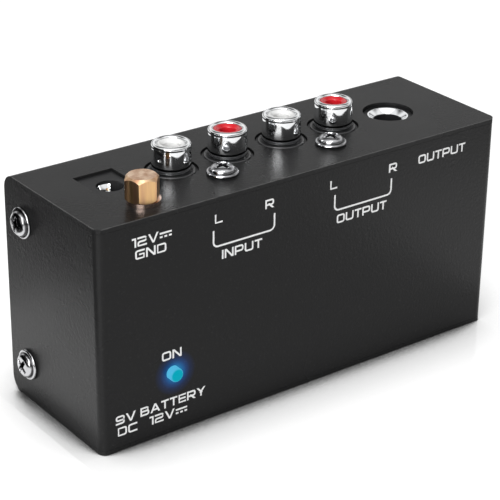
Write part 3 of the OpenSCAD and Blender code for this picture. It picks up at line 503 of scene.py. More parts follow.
# %% Recipes for drawn and pressed metal
def drawn(name, bright, dull, top, gloss, line_mm, lines=3200.0):
    """A metal drawn along the upright axis, with lines that run up and down, and a redder top."""
    material, tree, shader, place = new_material(name, Metallic=1.0)
    upright = put(tree, "ShaderNodeVectorMath", {1: (1.0, 1.0, 0.06)}, {0: place}, operation="MULTIPLY")
    scratches = put(tree, "ShaderNodeTexNoise", {"Scale": lines, "Detail": 3.0},
                    {"Vector": upright.outputs[0]})
    tarnish = put(tree, "ShaderNodeTexNoise", {"Scale": 700.0, "Detail": 4.0}, {"Vector": upright.outputs[0]})
    patches = put(tree, "ShaderNodeMapRange", {"From Min": 0.4, "From Max": 0.68},
                  {"Value": tarnish.outputs["Fac"]})
    lid = put(tree, "ShaderNodeMapRange", {"From Min": 0.5, "From Max": 0.9}, {"Value": faces(tree, "Z")})
    sides = tint(tree, patches.outputs[0], bright, dull)
    # Faces that point up get the paler, redder top colour.
    upward_face_colour = tint(tree, patches.outputs[0], top, dull)
    tree.links.new(tint(tree, lid.outputs[0], sides, upward_face_colour), shader.inputs["Base Color"])
    vary_gloss(tree, shader, upright.outputs[0], *gloss, patches=900.0)
    relief(tree, shader, scratches.outputs["Fac"], line_mm)
    return material


def pressed(name, bright, dark, gloss, dent_mm):
    """A plated screw head: bright where it stands proud, and painted dark in its recess and its groove as
    shade.
    """
    material, tree, shader, place = new_material(name, Metallic=1.0)
    # The "recess" attribute carries painted shade for the cross and the groove.
    recess = put(tree, "ShaderNodeAttribute", attribute_name="recess")
    dents = use_group(tree, grain, place, Bumps_per_metre=1100.0)
    tree.links.new(tint(tree, recess.outputs["Fac"], bright, dark), shader.inputs["Base Color"])
    vary_gloss(tree, shader, place, *gloss, patches=700.0)
    relief(tree, shader, dents.outputs["Height"], dent_mm)
    return material


print("recipes for metal:", [recipe.__name__ for recipe in (metal, drawn, pressed)])

# %% [markdown]
# With the recipes at hand each metal is one line: its colour, its lowest and highest roughness, and how
# deep its lines are. Chrome has almost none of either, and drawn brass has the deepest lines.

# %% Metal finishes
chrome = metal("chrome", (0.82, 0.83, 0.84, 1.0), (0.03, 0.08), 0.0003)
# The near black of the screw plate is painted shade for the recesses.
screw_plate = pressed("screw_plate", (0.4, 0.4, 0.41, 1.0), grey(0.01), (0.1, 0.22), 0.014)
nickel = metal("nickel_screw", grey(0.42), (0.08, 0.16), 0.0015, 5000.0, around_axis=False)
tinned = metal("tinned_contact", (0.74, 0.74, 0.72, 1.0), (0.2, 0.34), 0.003, 4000.0, around_axis=False)
brass = metal("stud_brass", (0.72, 0.5, 0.2, 1.0), (0.2, 0.32), 0.004)
nut_brass = drawn("nut_brass", (0.74, 0.48, 0.22, 1.0), (0.52, 0.29, 0.17, 1.0), (0.82, 0.6, 0.43, 1.0),
                  (0.26, 0.42), 0.012)
washer_copper = metal("washer_copper", (0.83, 0.62, 0.52, 1.0), (0.15, 0.25), 0.003, around_axis=False)
dress(chrome, "input_left_shell", "input_right_shell", "output_left_shell", "output_right_shell",
      "big_jack_bushing")
dress(nickel, "case_screws", "housing_screws", "board_screws")
dress(tinned, "phono_contacts", "big_jack_contacts", "dc_jack_contact", "dc_jack_pin", "ground_lug",
      "lamp_leads", "battery_terminals")
dress(brass, "ground_stud")
dress(washer_copper, "ground_washer")
dress(nut_brass, "ground_nut")
print("metal finishes:",
      [m.name for m in (chrome, screw_plate, nickel, tinned, brass, nut_brass, washer_copper)])

# %% [markdown]
# ## Board standoffs
#
# The two board standoffs are pressed through the back panel, and their turned ends show there. A lathe
# leaves rings round each end's own axis, so the pattern is the distance from the nearer axis.

# %% Turned ends of the board standoffs
END_RADIUS = 2.3 * MM
RINGS_PER_METRE = 9000.0
ends, tree, shader, place = new_material("standoff_ends", Metallic=1.0)
low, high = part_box("board_standoffs")
hexagon_corner = (high.z - low.z) / 2 / math.cos(math.pi / 6)
from_middle = off_by(tree, split(tree, place, "X"), 0.0)
sideways = join(tree, "SUBTRACT", from_middle, high.x - hexagon_corner)
upwards = join(tree, "SUBTRACT", split(tree, place, "Z"), (low.z + high.z) / 2)
flat = put(tree, "ShaderNodeCombineXYZ", None, {"X": sideways, "Y": upwards})
out = put(tree, "ShaderNodeVectorMath", None, {0: flat.outputs[0]}, operation="LENGTH").outputs["Value"]
stretched = put(tree, "ShaderNodeCombineXYZ", None, {"X": join(tree, "MULTIPLY", out, RINGS_PER_METRE)})
lathe_lines = put(tree, "ShaderNodeTexNoise", {"Scale": 1.0, "Detail": 2.0}, {"Vector": stretched.outputs[0]})
# The ramp paints shade on one steel: nearly black in the drilled hole, darker on the chamfer and at the rim.
hole_shade, turned_face, chamfer_shade, rim_shade = grey(0.05), grey(0.5), grey(0.2), grey(0.12)
profile = ramp(tree, join(tree, "DIVIDE", out, END_RADIUS),
               [(0.2, hole_shade), (0.26, turned_face), (0.84, grey(0.46)), (0.9, chamfer_shade), (1.0, rim_shade)])
tree.links.new(profile, shader.inputs["Base Color"])
vary_gloss(tree, shader, place, 0.24, 0.36, 300.0)
relief(tree, shader, lathe_lines.outputs["Fac"], 0.012)
dress(ends, "board_standoffs")
print("standoff axes at", round((high.x - hexagon_corner) / MM, 2), "mm from the middle")

# %% [markdown]
# ## Satin black paint
#
# The folded steel is powder coated: nearly black, satin, with a very fine orange-peel grain. Where the
# coat goes round an edge it is thinner and a little paler, which is partly wear and partly a painted edge
# highlight. The pilot lamp's small blue glow round it is painted light, an emission in the coat that
# falls off with the distance from the lamp.

# %% Paint of the case
GLOW_REACH = 5.0 * MM
GLOW_SHIFT = Vector((0.5, 0.0, -0.2)) * MM
WEAR_AND_HIGHLIGHT_WIDTH = 0.45 * MM
COAT, COAT_SPECKS = (0.011, 0.011, 0.0112, 1.0), grey(0.02)
GLOW = [(0.28, (0.0, 0.16, 0.36, 1.0)), (0.4, (0.0, 0.085, 0.26, 1.0)), (0.54, (0.0, 0.035, 0.14, 1.0)),
        (0.72, (0.0, 0.009, 0.045, 1.0)), (1.0, (0.0, 0.0, 0.0, 1.0))]


def case_paint(name, node, wear_and_highlight, lamp=None):
    """The satin coat of one folded sheet, paler at its edges from wear and a painted highlight; with a lamp,
    its glow is painted on as emission.
    """
    material, tree, shader, place = new_material(name, Specular_IOR_Level=0.105)
    low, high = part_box(node)
    coat = use_group(tree, grain, place, Bumps_per_metre=1700.0)
    edges = use_group(tree, edge_wear_and_highlight, place, Centre=(low + high) / 2, Half_size=(high - low) / 2,
                      Width=WEAR_AND_HIGHLIGHT_WIDTH)
    colour = tint(tree, coat.outputs["Specks"], COAT, COAT_SPECKS)
    # The paler edge colour is partly wear and partly a painted highlight.
    colour = tint(tree, edges.outputs["Mask"], colour, grey(wear_and_highlight))
    tree.links.new(colour, shader.inputs["Base Color"])
    vary_gloss(tree, shader, place, 0.23, 0.3, 40.0)
    relief(tree, shader, coat.outputs["Height"], 0.065)
    # The lamp's blue glow is painted light: an emission in the coat itself.
    if lamp is not None:
        away = put(tree, "ShaderNodeVectorMath", {1: lamp + GLOW_SHIFT}, {0: place}, operation="DISTANCE")
        glow = ramp(tree, join(tree, "DIVIDE", away.outputs["Value"], GLOW_REACH), GLOW)
        tree.links.new(glow, shader.inputs["Emission Color"])
        shader.inputs["Emission Strength"].default_value = 1.0
    return material


lamp_low, lamp_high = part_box("pilot_lamp")
lamp_seat = Vector(((lamp_low.x + lamp_high.x) / 2, FRONT, (lamp_low.z + lamp_high.z) / 2))
dress(case_paint("cover_paint", "cover", 0.018, lamp_seat), "cover")
dress(case_paint("chassis_paint", "chassis", 0.07), "chassis")
print("the lamp's glow reaches", GLOW_REACH / MM, "mm over the coat")

# %% [markdown]
# ## The lit pilot lamp
#
# The lamp is a 3 mm diode with a blue lens. Lit, its face is an even cyan and its rim, where the light
# gathers in the edge of the lens, is paler. So the light is an emission whose colour changes from the
# middle to the rim.

# %% Lamp lens
LAMP_RADIUS = 1.5
lens, tree, shader, place = new_material("lamp_lens", Base_Color=(0.0, 0.03, 0.05, 1.0), Roughness=0.3,
                                         Specular_IOR_Level=0.04, Emission_Strength=1.0)
sideways = put(tree, "ShaderNodeVectorMath", {1: (1.0, 0.0, 1.0)}, {0: place}, operation="MULTIPLY")
axis_point = (lamp_seat.x, 0.0, lamp_seat.z)
off_axis = put(tree, "ShaderNodeVectorMath", {1: axis_point}, {0: sideways.outputs[0]}, operation="DISTANCE")
shine = ramp(tree, join(tree, "DIVIDE", off_axis.outputs["Value"], LAMP_RADIUS * MM),
             [(0.8, (0.0, 0.34, 0.43, 1.0)), (1.0, (0.09, 0.44, 0.68, 1.0))])
tree.links.new(shine, shader.inputs["Emission Color"])
lens_grain = use_group(tree, grain, place, Bumps_per_metre=1500.0)
relief(tree, shader, lens_grain.outputs["Height"], 0.005)
dress(lens, "pilot_lamp")
print("the lamp shines", round(lamp_seat.z / MM, 1), "mm over the floor")

# %% [markdown]
# ## Board and battery
#
# The board is glass cloth under green lacquer, and its tracks show through as paler lines. A brick
# pattern turned into the board's plane gives straight tracks with right-angled turns.

# %% Board laminate
laminate, tree, shader, place = new_material("board_laminate", Specular_IOR_Level=0.4)
upright = put(tree, "ShaderNodeMapping", {"Rotation": (math.pi / 2, 0, 0)}, {"Vector": place})
tracks = put(tree, "ShaderNodeTexBrick",
             {"Scale": 1.0, "Brick Width": 5.08 * MM, "Row Height": 1.27 * MM, "Mortar Size": 0.18 * MM,
              "Color1": grey(0.0), "Color2": grey(0.0), "Mortar": grey(1.0)},
             {"Vector": upright.outputs[0]})
tree.links.new(tint(tree, tracks.outputs["Fac"], (0.008, 0.075, 0.028, 1.0), (0.03, 0.17, 0.06, 1.0)),
               shader.inputs["Base Color"])
vary_gloss(tree, shader, place, 0.25, 0.4)
relief(tree, shader, tracks.outputs["Fac"], 0.03)
dress(laminate, "circuit_board")

# %% [markdown]
# The battery has a printed steel jacket, plain dark blue with two pale lines, and its rolled steel rims
# show at both ends. All of that changes along its length only, so one ramp along X paints it.

# %% Battery jacket
jacket, tree, shader, place = new_material("battery_jacket", Metallic=0.6)
battery_low, battery_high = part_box("battery")
share = put(tree, "ShaderNodeMapRange", {"From Min": battery_low.x, "From Max": battery_high.x},
            {"Value": split(tree, place, "X")})
steel, blue, pale = (0.55, 0.55, 0.56, 1.0), (0.012, 0.035, 0.12, 1.0), (0.5, 0.52, 0.55, 1.0)
paint = ramp(tree, share.outputs[0], [(0.0, steel), (0.022, blue), (0.24, pale), (0.252, blue), (0.264, pale),
                                      (0.276, blue), (0.978, steel)], "CONSTANT")
scuffs = use_group(tree, edge_wear_and_highlight, place, Centre=(battery_low + battery_high) / 2,
                   Half_size=(battery_high - battery_low) / 2, Width=0.8 * MM)
printed = tint(tree, scuffs.outputs["Mask"], paint, grey(0.5))
tree.links.new(printed, shader.inputs["Base Color"])
vary_gloss(tree, shader, place, 0.25, 0.38)
dents = use_group(tree, grain, place, Bumps_per_metre=120.0)
relief(tree, shader, dents.outputs["Height"], 0.05)
dress(jacket, "battery")
print("the battery is", round((battery_high.x - battery_low.x) / MM, 1), "mm long")

# %% [markdown]
# ## Helpers for meshes
#
# A few helpers are enough for the small pieces. One makes an object from a finished mesh and shades it
# smooth except at real edges. One turns an outline round an upright axis, as a lathe does. One draws
# the points of an arc, so that an outline can have rounded corners. Shapes that no lathe makes are
# built ring by ring, so one helper joins two rings with faces, and one turns such a form into a mesh.

# %% Helpers for meshes
def add_piece(name, mesh, material, body, sharp=35):
    """Makes an object from a mesh, gives it its finish, and lets it ride on a body."""
    piece = bpy.data.objects.new(name, mesh)
    bpy.context.scene.collection.objects.link(piece)
    if material is not None:
        mesh.materials.clear()
        mesh.materials.append(material)
    mesh.shade_smooth()
    mesh.set_sharp_from_angle(angle=math.radians(sharp))
    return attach(piece, body)


def arc(radius, height, bend, start, end, steps=6):
    """Points of an arc in an outline, from one angle to another in degrees, anticlockwise from outwards."""
    angles = [math.radians(start + (end - start) * i / steps) for i in range(steps + 1)]
    return [(radius + bend * math.cos(a), height + bend * math.sin(a)) for a in angles]


def bridge(form, lower, upper):
    """Joins two rings of points with faces."""
    for i in range(len(lower)):
        j = (i + 1) % len(lower)
        form.faces.new((lower[i], upper[i], upper[j], lower[j]))


def as_mesh(name, form, shift=(0, 0, 0)):
    """Turns the faces of a form outwards, moves it, and makes it a mesh."""
    bmesh.ops.recalc_face_normals(form, faces=form.faces)
    bmesh.ops.translate(form, verts=form.verts, vec=shift)
    mesh = bpy.data.meshes.new(name)
    form.to_mesh(mesh)
    form.free()
    return mesh


def lathe(name, outline, centre, turns=96, closed=True):
    """Turns an outline of (radius, height) points in mm round the upright axis through centre."""
    form = bmesh.new()
    corners = [form.verts.new((r * MM, 0, h * MM)) for r, h in outline]
    pairs = list(zip(corners, corners[1:])) + ([(corners[-1], corners[0])] if closed else [])
    edges = [form.edges.new(pair) for pair in pairs]
    bmesh.ops.spin(form, geom=corners + edges, cent=(0, 0, 0), axis=(0, 0, 1), angle=math.tau,
                   steps=turns, use_merge=True)
    bmesh.ops.remove_doubles(form, verts=form.verts, dist=1e-7)
    return as_mesh(name, form, (centre.x, centre.y, 0))


print("an arc of three points:", [(round(r, 2), round(h, 2)) for r, h in arc(0, 0, 1, 0, 90, 2)])

# %% [markdown]
# ## Lamp barrel
#
# The lamp stands a little out of the front panel: a short barrel with an eased edge and a nearly flat
# face. It is turned like the other round parts, and then tipped forwards, so that its axis points out
# of the panel.

# %% Lamp barrel
LAMP_EASE = 0.35
LAMP_INSIDE = -0.9
lamp_rise = (FRONT - lamp_low.y) / MM
lamp_outline = ([(0, LAMP_INSIDE), (LAMP_RADIUS, LAMP_INSIDE)]
                + arc(LAMP_RADIUS - LAMP_EASE, lamp_rise - 0.08 - LAMP_EASE, LAMP_EASE, 0, 85)
                + [(0.5, lamp_rise - 0.02), (0, lamp_rise)])
lamp_mesh = lathe("lamp", lamp_outline, Vector((0, 0, 0)), turns=64, closed=False)
lamp_mesh.transform(Matrix.Translation(lamp_seat) @ Matrix.Rotation(math.pi / 2, 4, "X"))
lit_lamp = add_piece("lamp_barrel", lamp_mesh, lens, "case", 50)
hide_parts("pilot_lamp")
print("the lamp stands", round(lamp_rise, 2), "mm out of the panel")

# %% [markdown]
# ## Phono sockets
#
# Each socket has a chrome shell with a rolled lip, a moulded boss with a raised rim round its foot, and
# an insulator that nearly fills its mouth. The insulator's face is a soft ring that dips into the pin
# hole. All of these are turned shapes, so each is one outline spun round the socket's axis. The left
# socket of a pair is white and the right one is red.

# %% Shells and insulators
BOSS_TOP = 49.78
SHELL_RADIUS = 4.2
SHELL_BORE = 3.4
SHELL_NECK = 3.9
BARREL_TAPER = ((53.0, 0.0), (53.4, 0.012), (53.9, 0.038), (54.5, 0.069), (55.15, 0.105))
LIP_BEND = 0.6
LIP_CENTRE = SHELL_RADIUS - 0.08 - LIP_BEND
shell_low, shell_high = (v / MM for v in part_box("input_left_shell"))
lip_level = shell_high.z - LIP_BEND
shell_outline = (
    [(SHELL_BORE, shell_low.z), (SHELL_NECK, shell_low.z), (SHELL_NECK, BOSS_TOP),
     (SHELL_RADIUS - 0.05, BOSS_TOP), (SHELL_RADIUS, BOSS_TOP + 0.05)]
    + [(SHELL_RADIUS - inwards, level) for level, inwards in BARREL_TAPER]
    + arc(LIP_CENTRE, lip_level, LIP_BEND, -25, 190, 18)
    + [(3.0, lip_level - 0.4), (SHELL_BORE, lip_level - 0.6)])

PIN_HOLE = 1.7
HOLE_BEND = 0.4
FACE_BEND = 0.42
RING_RADIUS = 2.97
SKIRT_RADIUS = 3.35
insulator_low, insulator_high = (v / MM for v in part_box("input_left_insulator"))
face = insulator_high.z
insulator_outline = (
    [(PIN_HOLE, insulator_low.z)]
    + arc(PIN_HOLE + HOLE_BEND, face - 0.72, HOLE_BEND, 180, 115)
    + arc(2.52, face - FACE_BEND, FACE_BEND, 115, 5, 10)
    + [(RING_RADIUS - 0.01, face - 0.6), (RING_RADIUS, face - 0.95), (SKIRT_RADIUS, face - 1.1),
       (SKIRT_RADIUS, insulator_low.z)])

RIM_INNER, RIM_OUTER, RIM_BEND = 4.52, 4.98, 0.16
RIM_FOOT = BOSS_TOP - 0.08
rim_outline = ([(RIM_INNER, RIM_FOOT), (RIM_OUTER, RIM_FOOT), (RIM_OUTER, BOSS_TOP + 0.17)]
               + arc(RIM_OUTER - RIM_BEND, BOSS_TOP + 0.19, RIM_BEND, 0, 180, 8)
               + [(RIM_INNER, BOSS_TOP + 0.12)])
SIDES = (("left", white_plastic, "white_plastic"), ("right", red_plastic, "red_plastic"))
for pair in ("input", "output"):
    for side, plastic, slot in SIDES:
        centre = middle(f"{pair}_{side}_shell")
        shell = add_piece(f"{pair}_{side}_turned_shell", lathe("shell", shell_outline, centre), chrome,
                          "case", 50)
        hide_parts(f"{pair}_{side}_shell")
        ring = add_piece(f"{pair}_{side}_moulded_ring", lathe("ring", insulator_outline, centre), plastic,
                         "case", 50)
        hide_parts(f"{pair}_{side}_insulator")
        add_piece(f"{pair}_{side}_boss_rim", lathe("rim", rim_outline, centre), rim_highlight_plastic, "case",
                  50)
print("one shell has", len(shell.data.polygons), "faces, one insulator", len(ring.data.polygons))

# %% [markdown]
# ## Mouth of the quarter-inch socket
#
# The big socket's bushing sits just below the panel and opens in a wide bevel. On a turned piece the
# bevel is one smooth cone, so it is made as an outline too and shaded smooth all round.

# %% Quarter-inch bushing
BIG_BORE = 3.2
BEVEL = 1.0
BUSH_EASE = 0.15
SLEEVE_OUTSIDE = BIG_BORE + 0.12
SLEEVE_GAP = 0.02
bush_low, bush_high = (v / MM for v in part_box("big_jack_bushing"))
bush_centre = middle("big_jack_bushing")
bush_wide = (bush_high.x - bush_low.x) / 2
ring_foot = bush_high.z - BEVEL - 0.1
bush_outline = ([(SLEEVE_OUTSIDE + SLEEVE_GAP, bush_low.z), (bush_wide, bush_low.z)]
                + arc(bush_wide - BUSH_EASE, bush_high.z - BUSH_EASE, BUSH_EASE, 0, 90, 3)
                + arc(BIG_BORE + BEVEL, bush_high.z - 0.1, 0.1, 90, 135, 2)
                + [(BIG_BORE + 0.06, ring_foot + 0.1), (BIG_BORE, ring_foot),
                   (SLEEVE_OUTSIDE + SLEEVE_GAP, ring_foot)])
sleeve_outline = [(BIG_BORE, bush_low.z), (SLEEVE_OUTSIDE, bush_low.z),
                  (SLEEVE_OUTSIDE, ring_foot - SLEEVE_GAP), (BIG_BORE, ring_foot - SLEEVE_GAP)]
add_piece("bore_sleeve", lathe("sleeve", sleeve_outline, bush_centre), jack_plastic, "case")
bushing = add_piece("turned_bushing", lathe("bushing", bush_outline, bush_centre), chrome, "case",
                    30)
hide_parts("big_jack_bushing")
print("bushing radius", round(bush_wide, 2), "from", round(bush_low.z, 2), "to", round(bush_high.z, 2))

# %% [markdown]
# The DC socket has a second sprung contact against the far wall of its bore. It is a strip of plated
# steel that is curved like the bore and slopes inwards, to guide the plug. So it is part of a turned
# shape, an outline that is carried only some way round the axis.

# %% Leaf in the DC socket
DC_BORE = 2.85
LEAF_SHAPE = ((0.02, 0.75), (0.06, 0.7), (0.5, 1.3), (0.95, 2.1), (1.0, 2.8), (0.2, 4.0), (0.02, 4.0))
LEAF_START, LEAF_END, LEAF_STEPS = 56, 152, 30
dc_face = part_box("dc_jack_body")[1].z / MM
pin_low, pin_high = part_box("dc_jack_pin")
pin_radius = (pin_high.x - pin_low.x) / 2
dc_centre = Vector((pin_low.x + pin_radius, pin_low.y + pin_radius))
leaf_profile = [(DC_BORE - inwards, dc_face - below) for inwards, below in LEAF_SHAPE]
leaf_form = bmesh.new()
leaf_rings = []
for i in range(LEAF_STEPS + 1):
    angle = math.radians(LEAF_START + (LEAF_END - LEAF_START) * i / LEAF_STEPS)
    leaf_rings.append([leaf_form.verts.new((dc_centre.x + r * MM * math.cos(angle),
                                            dc_centre.y + r * MM * math.sin(angle), h * MM))
                       for r, h in leaf_profile])
for lower, upper in zip(leaf_rings, leaf_rings[1:]):
    bridge(leaf_form, lower, upper)
leaf_form.faces.new(leaf_rings[0])
leaf_form.faces.new(leaf_rings[-1])
leaf = add_piece("dc_leaf", as_mesh("leaf", leaf_form), chrome, "case", 50)
print("the leaf has", len(leaf.data.polygons), "faces over", LEAF_END - LEAF_START, "degrees")

# %% [markdown]
# ## Screws
#
# Six screws show: two hold the socket housings and four hold the case. They are pan heads with a
# rolled flange and a cross recess. The head's height follows a formula of the place on it: a flat crown
# with a round shoulder, a flange, and a cross pressed in with sloping walls. The cross also gives each
# place an amount of painted shade, so that the finish can paint the recess and the groove round the
# crown dark.

# %% Shape of a screw head
HEAD_RADIUS = 3.4
HEAD_HEIGHT = 1.9
FLANGE_BEND = 0.35
DOME_RADIUS = 2.72
CROWN_RADIUS = 1.5
CROWN_SAG = 0.1
SHOULDER_DROP = 1.1
ARM_LENGTH = 1.75
ARM_WIDTH = 0.46
HUB_RADIUS = 0.78
END_WALL, SIDE_WALL, HUB_WALL = 0.3, 0.14, 0.2
RECESS_DEPTH = 1.2
GROOVE_WIDTH = 0.2


def cross_depth(x, y):
    """How deep the recess is at a point of the head, 0 outside the cross."""
    def arm(along, across):
        taper = ARM_WIDTH * (1.25 - 0.35 * abs(along) / ARM_LENGTH)
        return max((abs(along) - ARM_LENGTH) / END_WALL, (abs(across) - taper) / SIDE_WALL)
    inside = -min(arm(x, y), arm(y, x), (math.hypot(x, y) - HUB_RADIUS) / HUB_WALL)
    step = min(max(inside, 0.0), 1.0)
    return RECESS_DEPTH * step * step * (3 - 2 * step) * (1 - 0.35 * math.hypot(x, y) / ARM_LENGTH)


def recess_shade(x, y):
    """How much painted shade darkens the plating at a point: 1 deep in the cross and in the flange's groove.
    """
    groove = 1 - abs(math.hypot(x, y) - DOME_RADIUS - GROOVE_WIDTH / 2) / GROOVE_WIDTH
    return min(max(1.6 * cross_depth(x, y) / RECESS_DEPTH, groove, 0.0), 1.0)


def head_height(radius):
    """Height of the head over its seat at a radius, without the recess."""
    if radius <= DOME_RADIUS:
        crown = HEAD_HEIGHT - CROWN_SAG * (min(radius, CROWN_RADIUS) / CROWN_RADIUS) ** 2
        out = max(radius - CROWN_RADIUS, 0.0) / (DOME_RADIUS - CROWN_RADIUS)
        return crown - SHOULDER_DROP * (1 - math.sqrt(max(1 - out * out, 0.0)))
    bend = max(radius - (HEAD_RADIUS - FLANGE_BEND), 0.0)
    return FLANGE_BEND + math.sqrt(max(FLANGE_BEND ** 2 - bend ** 2, 0.0))


print("the cross is", round(cross_depth(0, 0), 2), "mm deep in a head of", HEAD_HEIGHT, "mm")

# %% [markdown]
# The head is a polar grid: rings of points that follow the formula, close together where the shoulder
# bends. The shank below is plain rings whose radius goes in and out. Each point keeps its painted shade
# in an attribute named "recess", which the finish of the plating reads.

# %% Mesh of a screw
SHANK_RADIUS = 1.5
SHANK_STEP = 0.25


def screw_mesh(turns=120):
    """A screw with its seat at height 0: the pressed head, then a ridged shank below it."""
    form = bmesh.new()
    # This layer holds the painted shade of the recess and the groove.
    recess = form.verts.layers.float.new("recess")
    shoulder = DOME_RADIUS - CROWN_RADIUS
    radii = [CROWN_RADIUS * i / 20 for i in range(1, 21)]
    radii += [CROWN_RADIUS + shoulder * math.sin(math.radians(90 * i / 18)) for i in range(1, 19)]
    radii += [DOME_RADIUS + 0.04 + (HEAD_RADIUS - DOME_RADIUS - 0.04) * i / 9 for i in range(10)]
    centre = form.verts.new((0, 0, (HEAD_HEIGHT - cross_depth(0, 0)) * MM))
    centre[recess] = 1.0
    previous = None
    for radius in radii:
        ring = []
        for i in range(turns):
            x = radius * math.cos(math.tau * i / turns)
            y = radius * math.sin(math.tau * i / turns)
            height = head_height(radius) - cross_depth(x, y)
            ring.append(form.verts.new((x * MM, y * MM, height * MM)))
            ring[-1][recess] = recess_shade(x, y)
        if previous is None:
            for i in range(turns):
                form.faces.new((centre, ring[i], ring[(i + 1) % turns]))
        else:
            bridge(form, previous, ring)
        previous = ring
    below = [(HEAD_RADIUS - 0.1, 0.1), (HEAD_RADIUS - FLANGE_BEND, 0.0), (SHANK_RADIUS, 0.0)]
    below += [(SHANK_RADIUS - SHANK_STEP * (i % 2), -SHANK_STEP * i) for i in range(1, 19)] + [(0.9, -5.0)]
    for radius, height in below:
        ring = [form.verts.new((radius * MM * math.cos(math.tau * i / turns),
                                radius * MM * math.sin(math.tau * i / turns), height * MM))
                for i in range(turns)]
        bridge(form, previous, ring)
        previous = ring
    form.faces.new(previous[::-1])
    mesh = as_mesh("screw", form)
    mesh.shade_smooth()
    mesh.set_sharp_from_angle(angle=math.radians(40))
    return mesh


screw = screw_mesh()
print("one screw has", len(screw.polygons), "faces")

# %% [markdown]
# A screw stops turning where it is tight, so no two crosses stand alike. Geometry Nodes puts the one
# screw on a point at each seat, faces it the way that the point says, and turns it by a random angle.
# Two helpers make the points and run a tree, and a third gives every tree its last steps: the copies
# become real geometry, and they get their finish.

# %% A Geometry Nodes tree that seats screws on points
def run_tree(name, source, tree, **values):
    """Runs a Geometry Nodes tree on a source object and gives the result as a plain mesh."""
    modifier = source.modifiers.new(name, "NODES")
    modifier.node_group = tree
    for item in tree.interface.items_tree:
        if item.in_out == "INPUT" and item.name in values:
            modifier[item.identifier] = values[item.name]
    bpy.context.view_layer.update()
    graph = bpy.context.evaluated_depsgraph_get()
    mesh = bpy.data.meshes.new_from_object(source.evaluated_get(graph), depsgraph=graph)
    bpy.data.objects.remove(source)
    mesh.name = name
    return mesh


def source_object(name, points, edges=()):
    """A bare mesh of points and edges for a tree to work on."""
    mesh = bpy.data.meshes.new(name)
    mesh.from_pydata([tuple(p) for p in points], list(edges), [])
    source = bpy.data.objects.new(name, mesh)
    bpy.context.scene.collection.objects.link(source)
    return source


def end_tree(tree, geometry, finish, out):
    """The last steps of a tree: real geometry that has its finish."""
    solid = put(tree, "GeometryNodeRealizeInstances", None, {0: geometry})
    finished = put(tree, "GeometryNodeSetMaterial", None, {"Geometry": solid.outputs[0], "Material": finish})
    tree.links.new(finished.outputs[0], out)


seat_screws, entry, result = new_group(
    "seat screws", "GeometryNodeTree",
    [("Geometry", "NodeSocketGeometry", None), ("Screw", "NodeSocketObject", None),
     ("Finish", "NodeSocketMaterial", None), ("Seed", "NodeSocketInt", 0)],
    [("Geometry", "NodeSocketGeometry")])
facing = put(seat_screws, "GeometryNodeInputNamedAttribute", {"Name": "facing"}, data_type="FLOAT_VECTOR")
shape = put(seat_screws, "GeometryNodeObjectInfo", None, {"Object": entry["Screw"]})
turn = put(seat_screws, "FunctionNodeRandomValue", {2: 0.0, 3: math.tau}, {"Seed": entry["Seed"]},
           data_type="FLOAT")
spun = put(seat_screws, "ShaderNodeCombineXYZ", None, {"Z": turn.outputs[1]})
seats = put(seat_screws, "GeometryNodeInstanceOnPoints", None,
            {"Points": entry["Geometry"], "Instance": shape.outputs["Geometry"],
             "Rotation": facing.outputs["Attribute"]})
tightened = put(seat_screws, "GeometryNodeRotateInstances", {"Local Space": True},
                {"Instances": seats.outputs[0], "Rotation": spun.outputs[0]})
end_tree(seat_screws, tightened.outputs[0], entry["Finish"], result["Geometry"])
print("the tree that seats screws has", len(seat_screws.nodes), "nodes")

# %% [markdown]
# The seats follow from the screws that the CAD already has. A pair's box ends at the rim of its outer
# heads, so each centre is a head's radius in from there. A head sits a hair off the coat, because a
# gap of nothing would flicker.

# %% Screws on their seats
case_low, case_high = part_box("case_screws")
housing_low, housing_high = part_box("housing_screws")
SEAT_GAP = 0.05 * MM
head_room = HEAD_RADIUS * MM
case_y = (case_low.y + case_high.y) / 2
case_levels = (case_low.z + head_room, case_high.z - head_room)
housing_y = (housing_low.y + housing_high.y) / 2
case_seats = [((s * (abs(LEFT) + SEAT_GAP), case_y, z), (0, s * math.pi / 2, 0))
              for s in (-1, 1) for z in case_levels]
housing_seats = [((x, housing_y, PANEL + SEAT_GAP), (0, 0, 0))
                 for x in (housing_low.x + head_room, housing_high.x - head_room)]
pattern = bpy.data.objects.new("screw pattern", screw)
for name, replaced, places, seed in (("case_screw_set", "case_screws", case_seats, 3),
                                     ("housing_screw_set", "housing_screws", housing_seats, 5)):
    source = source_object(name, [place for place, _ in places])
    attribute = source.data.attributes.new("facing", "FLOAT_VECTOR", "POINT")
    for item, (_, angles) in zip(attribute.data, places):
        item.vector = angles
    mesh = run_tree(name, source, seat_screws, Screw=pattern, Finish=screw_plate, Seed=seed)
    screws = add_piece(name, mesh, screw_plate, "case", 40)
    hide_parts(replaced)
    print(name, len(mesh.polygons), "faces")
bpy.data.objects.remove(pattern)

# %% [markdown]
# ## Ground post
#
# A closed copper-plated nut screws onto a threaded brass stud and holds the earth wire over a washer.
# The stud's thread shows when the nut is lifted, so it is cut for real: a ridge that follows a helix.
# Geometry Nodes makes the helix from its pitch and radius and runs a small square on its corner along
# it, whose outer half is the ridge.

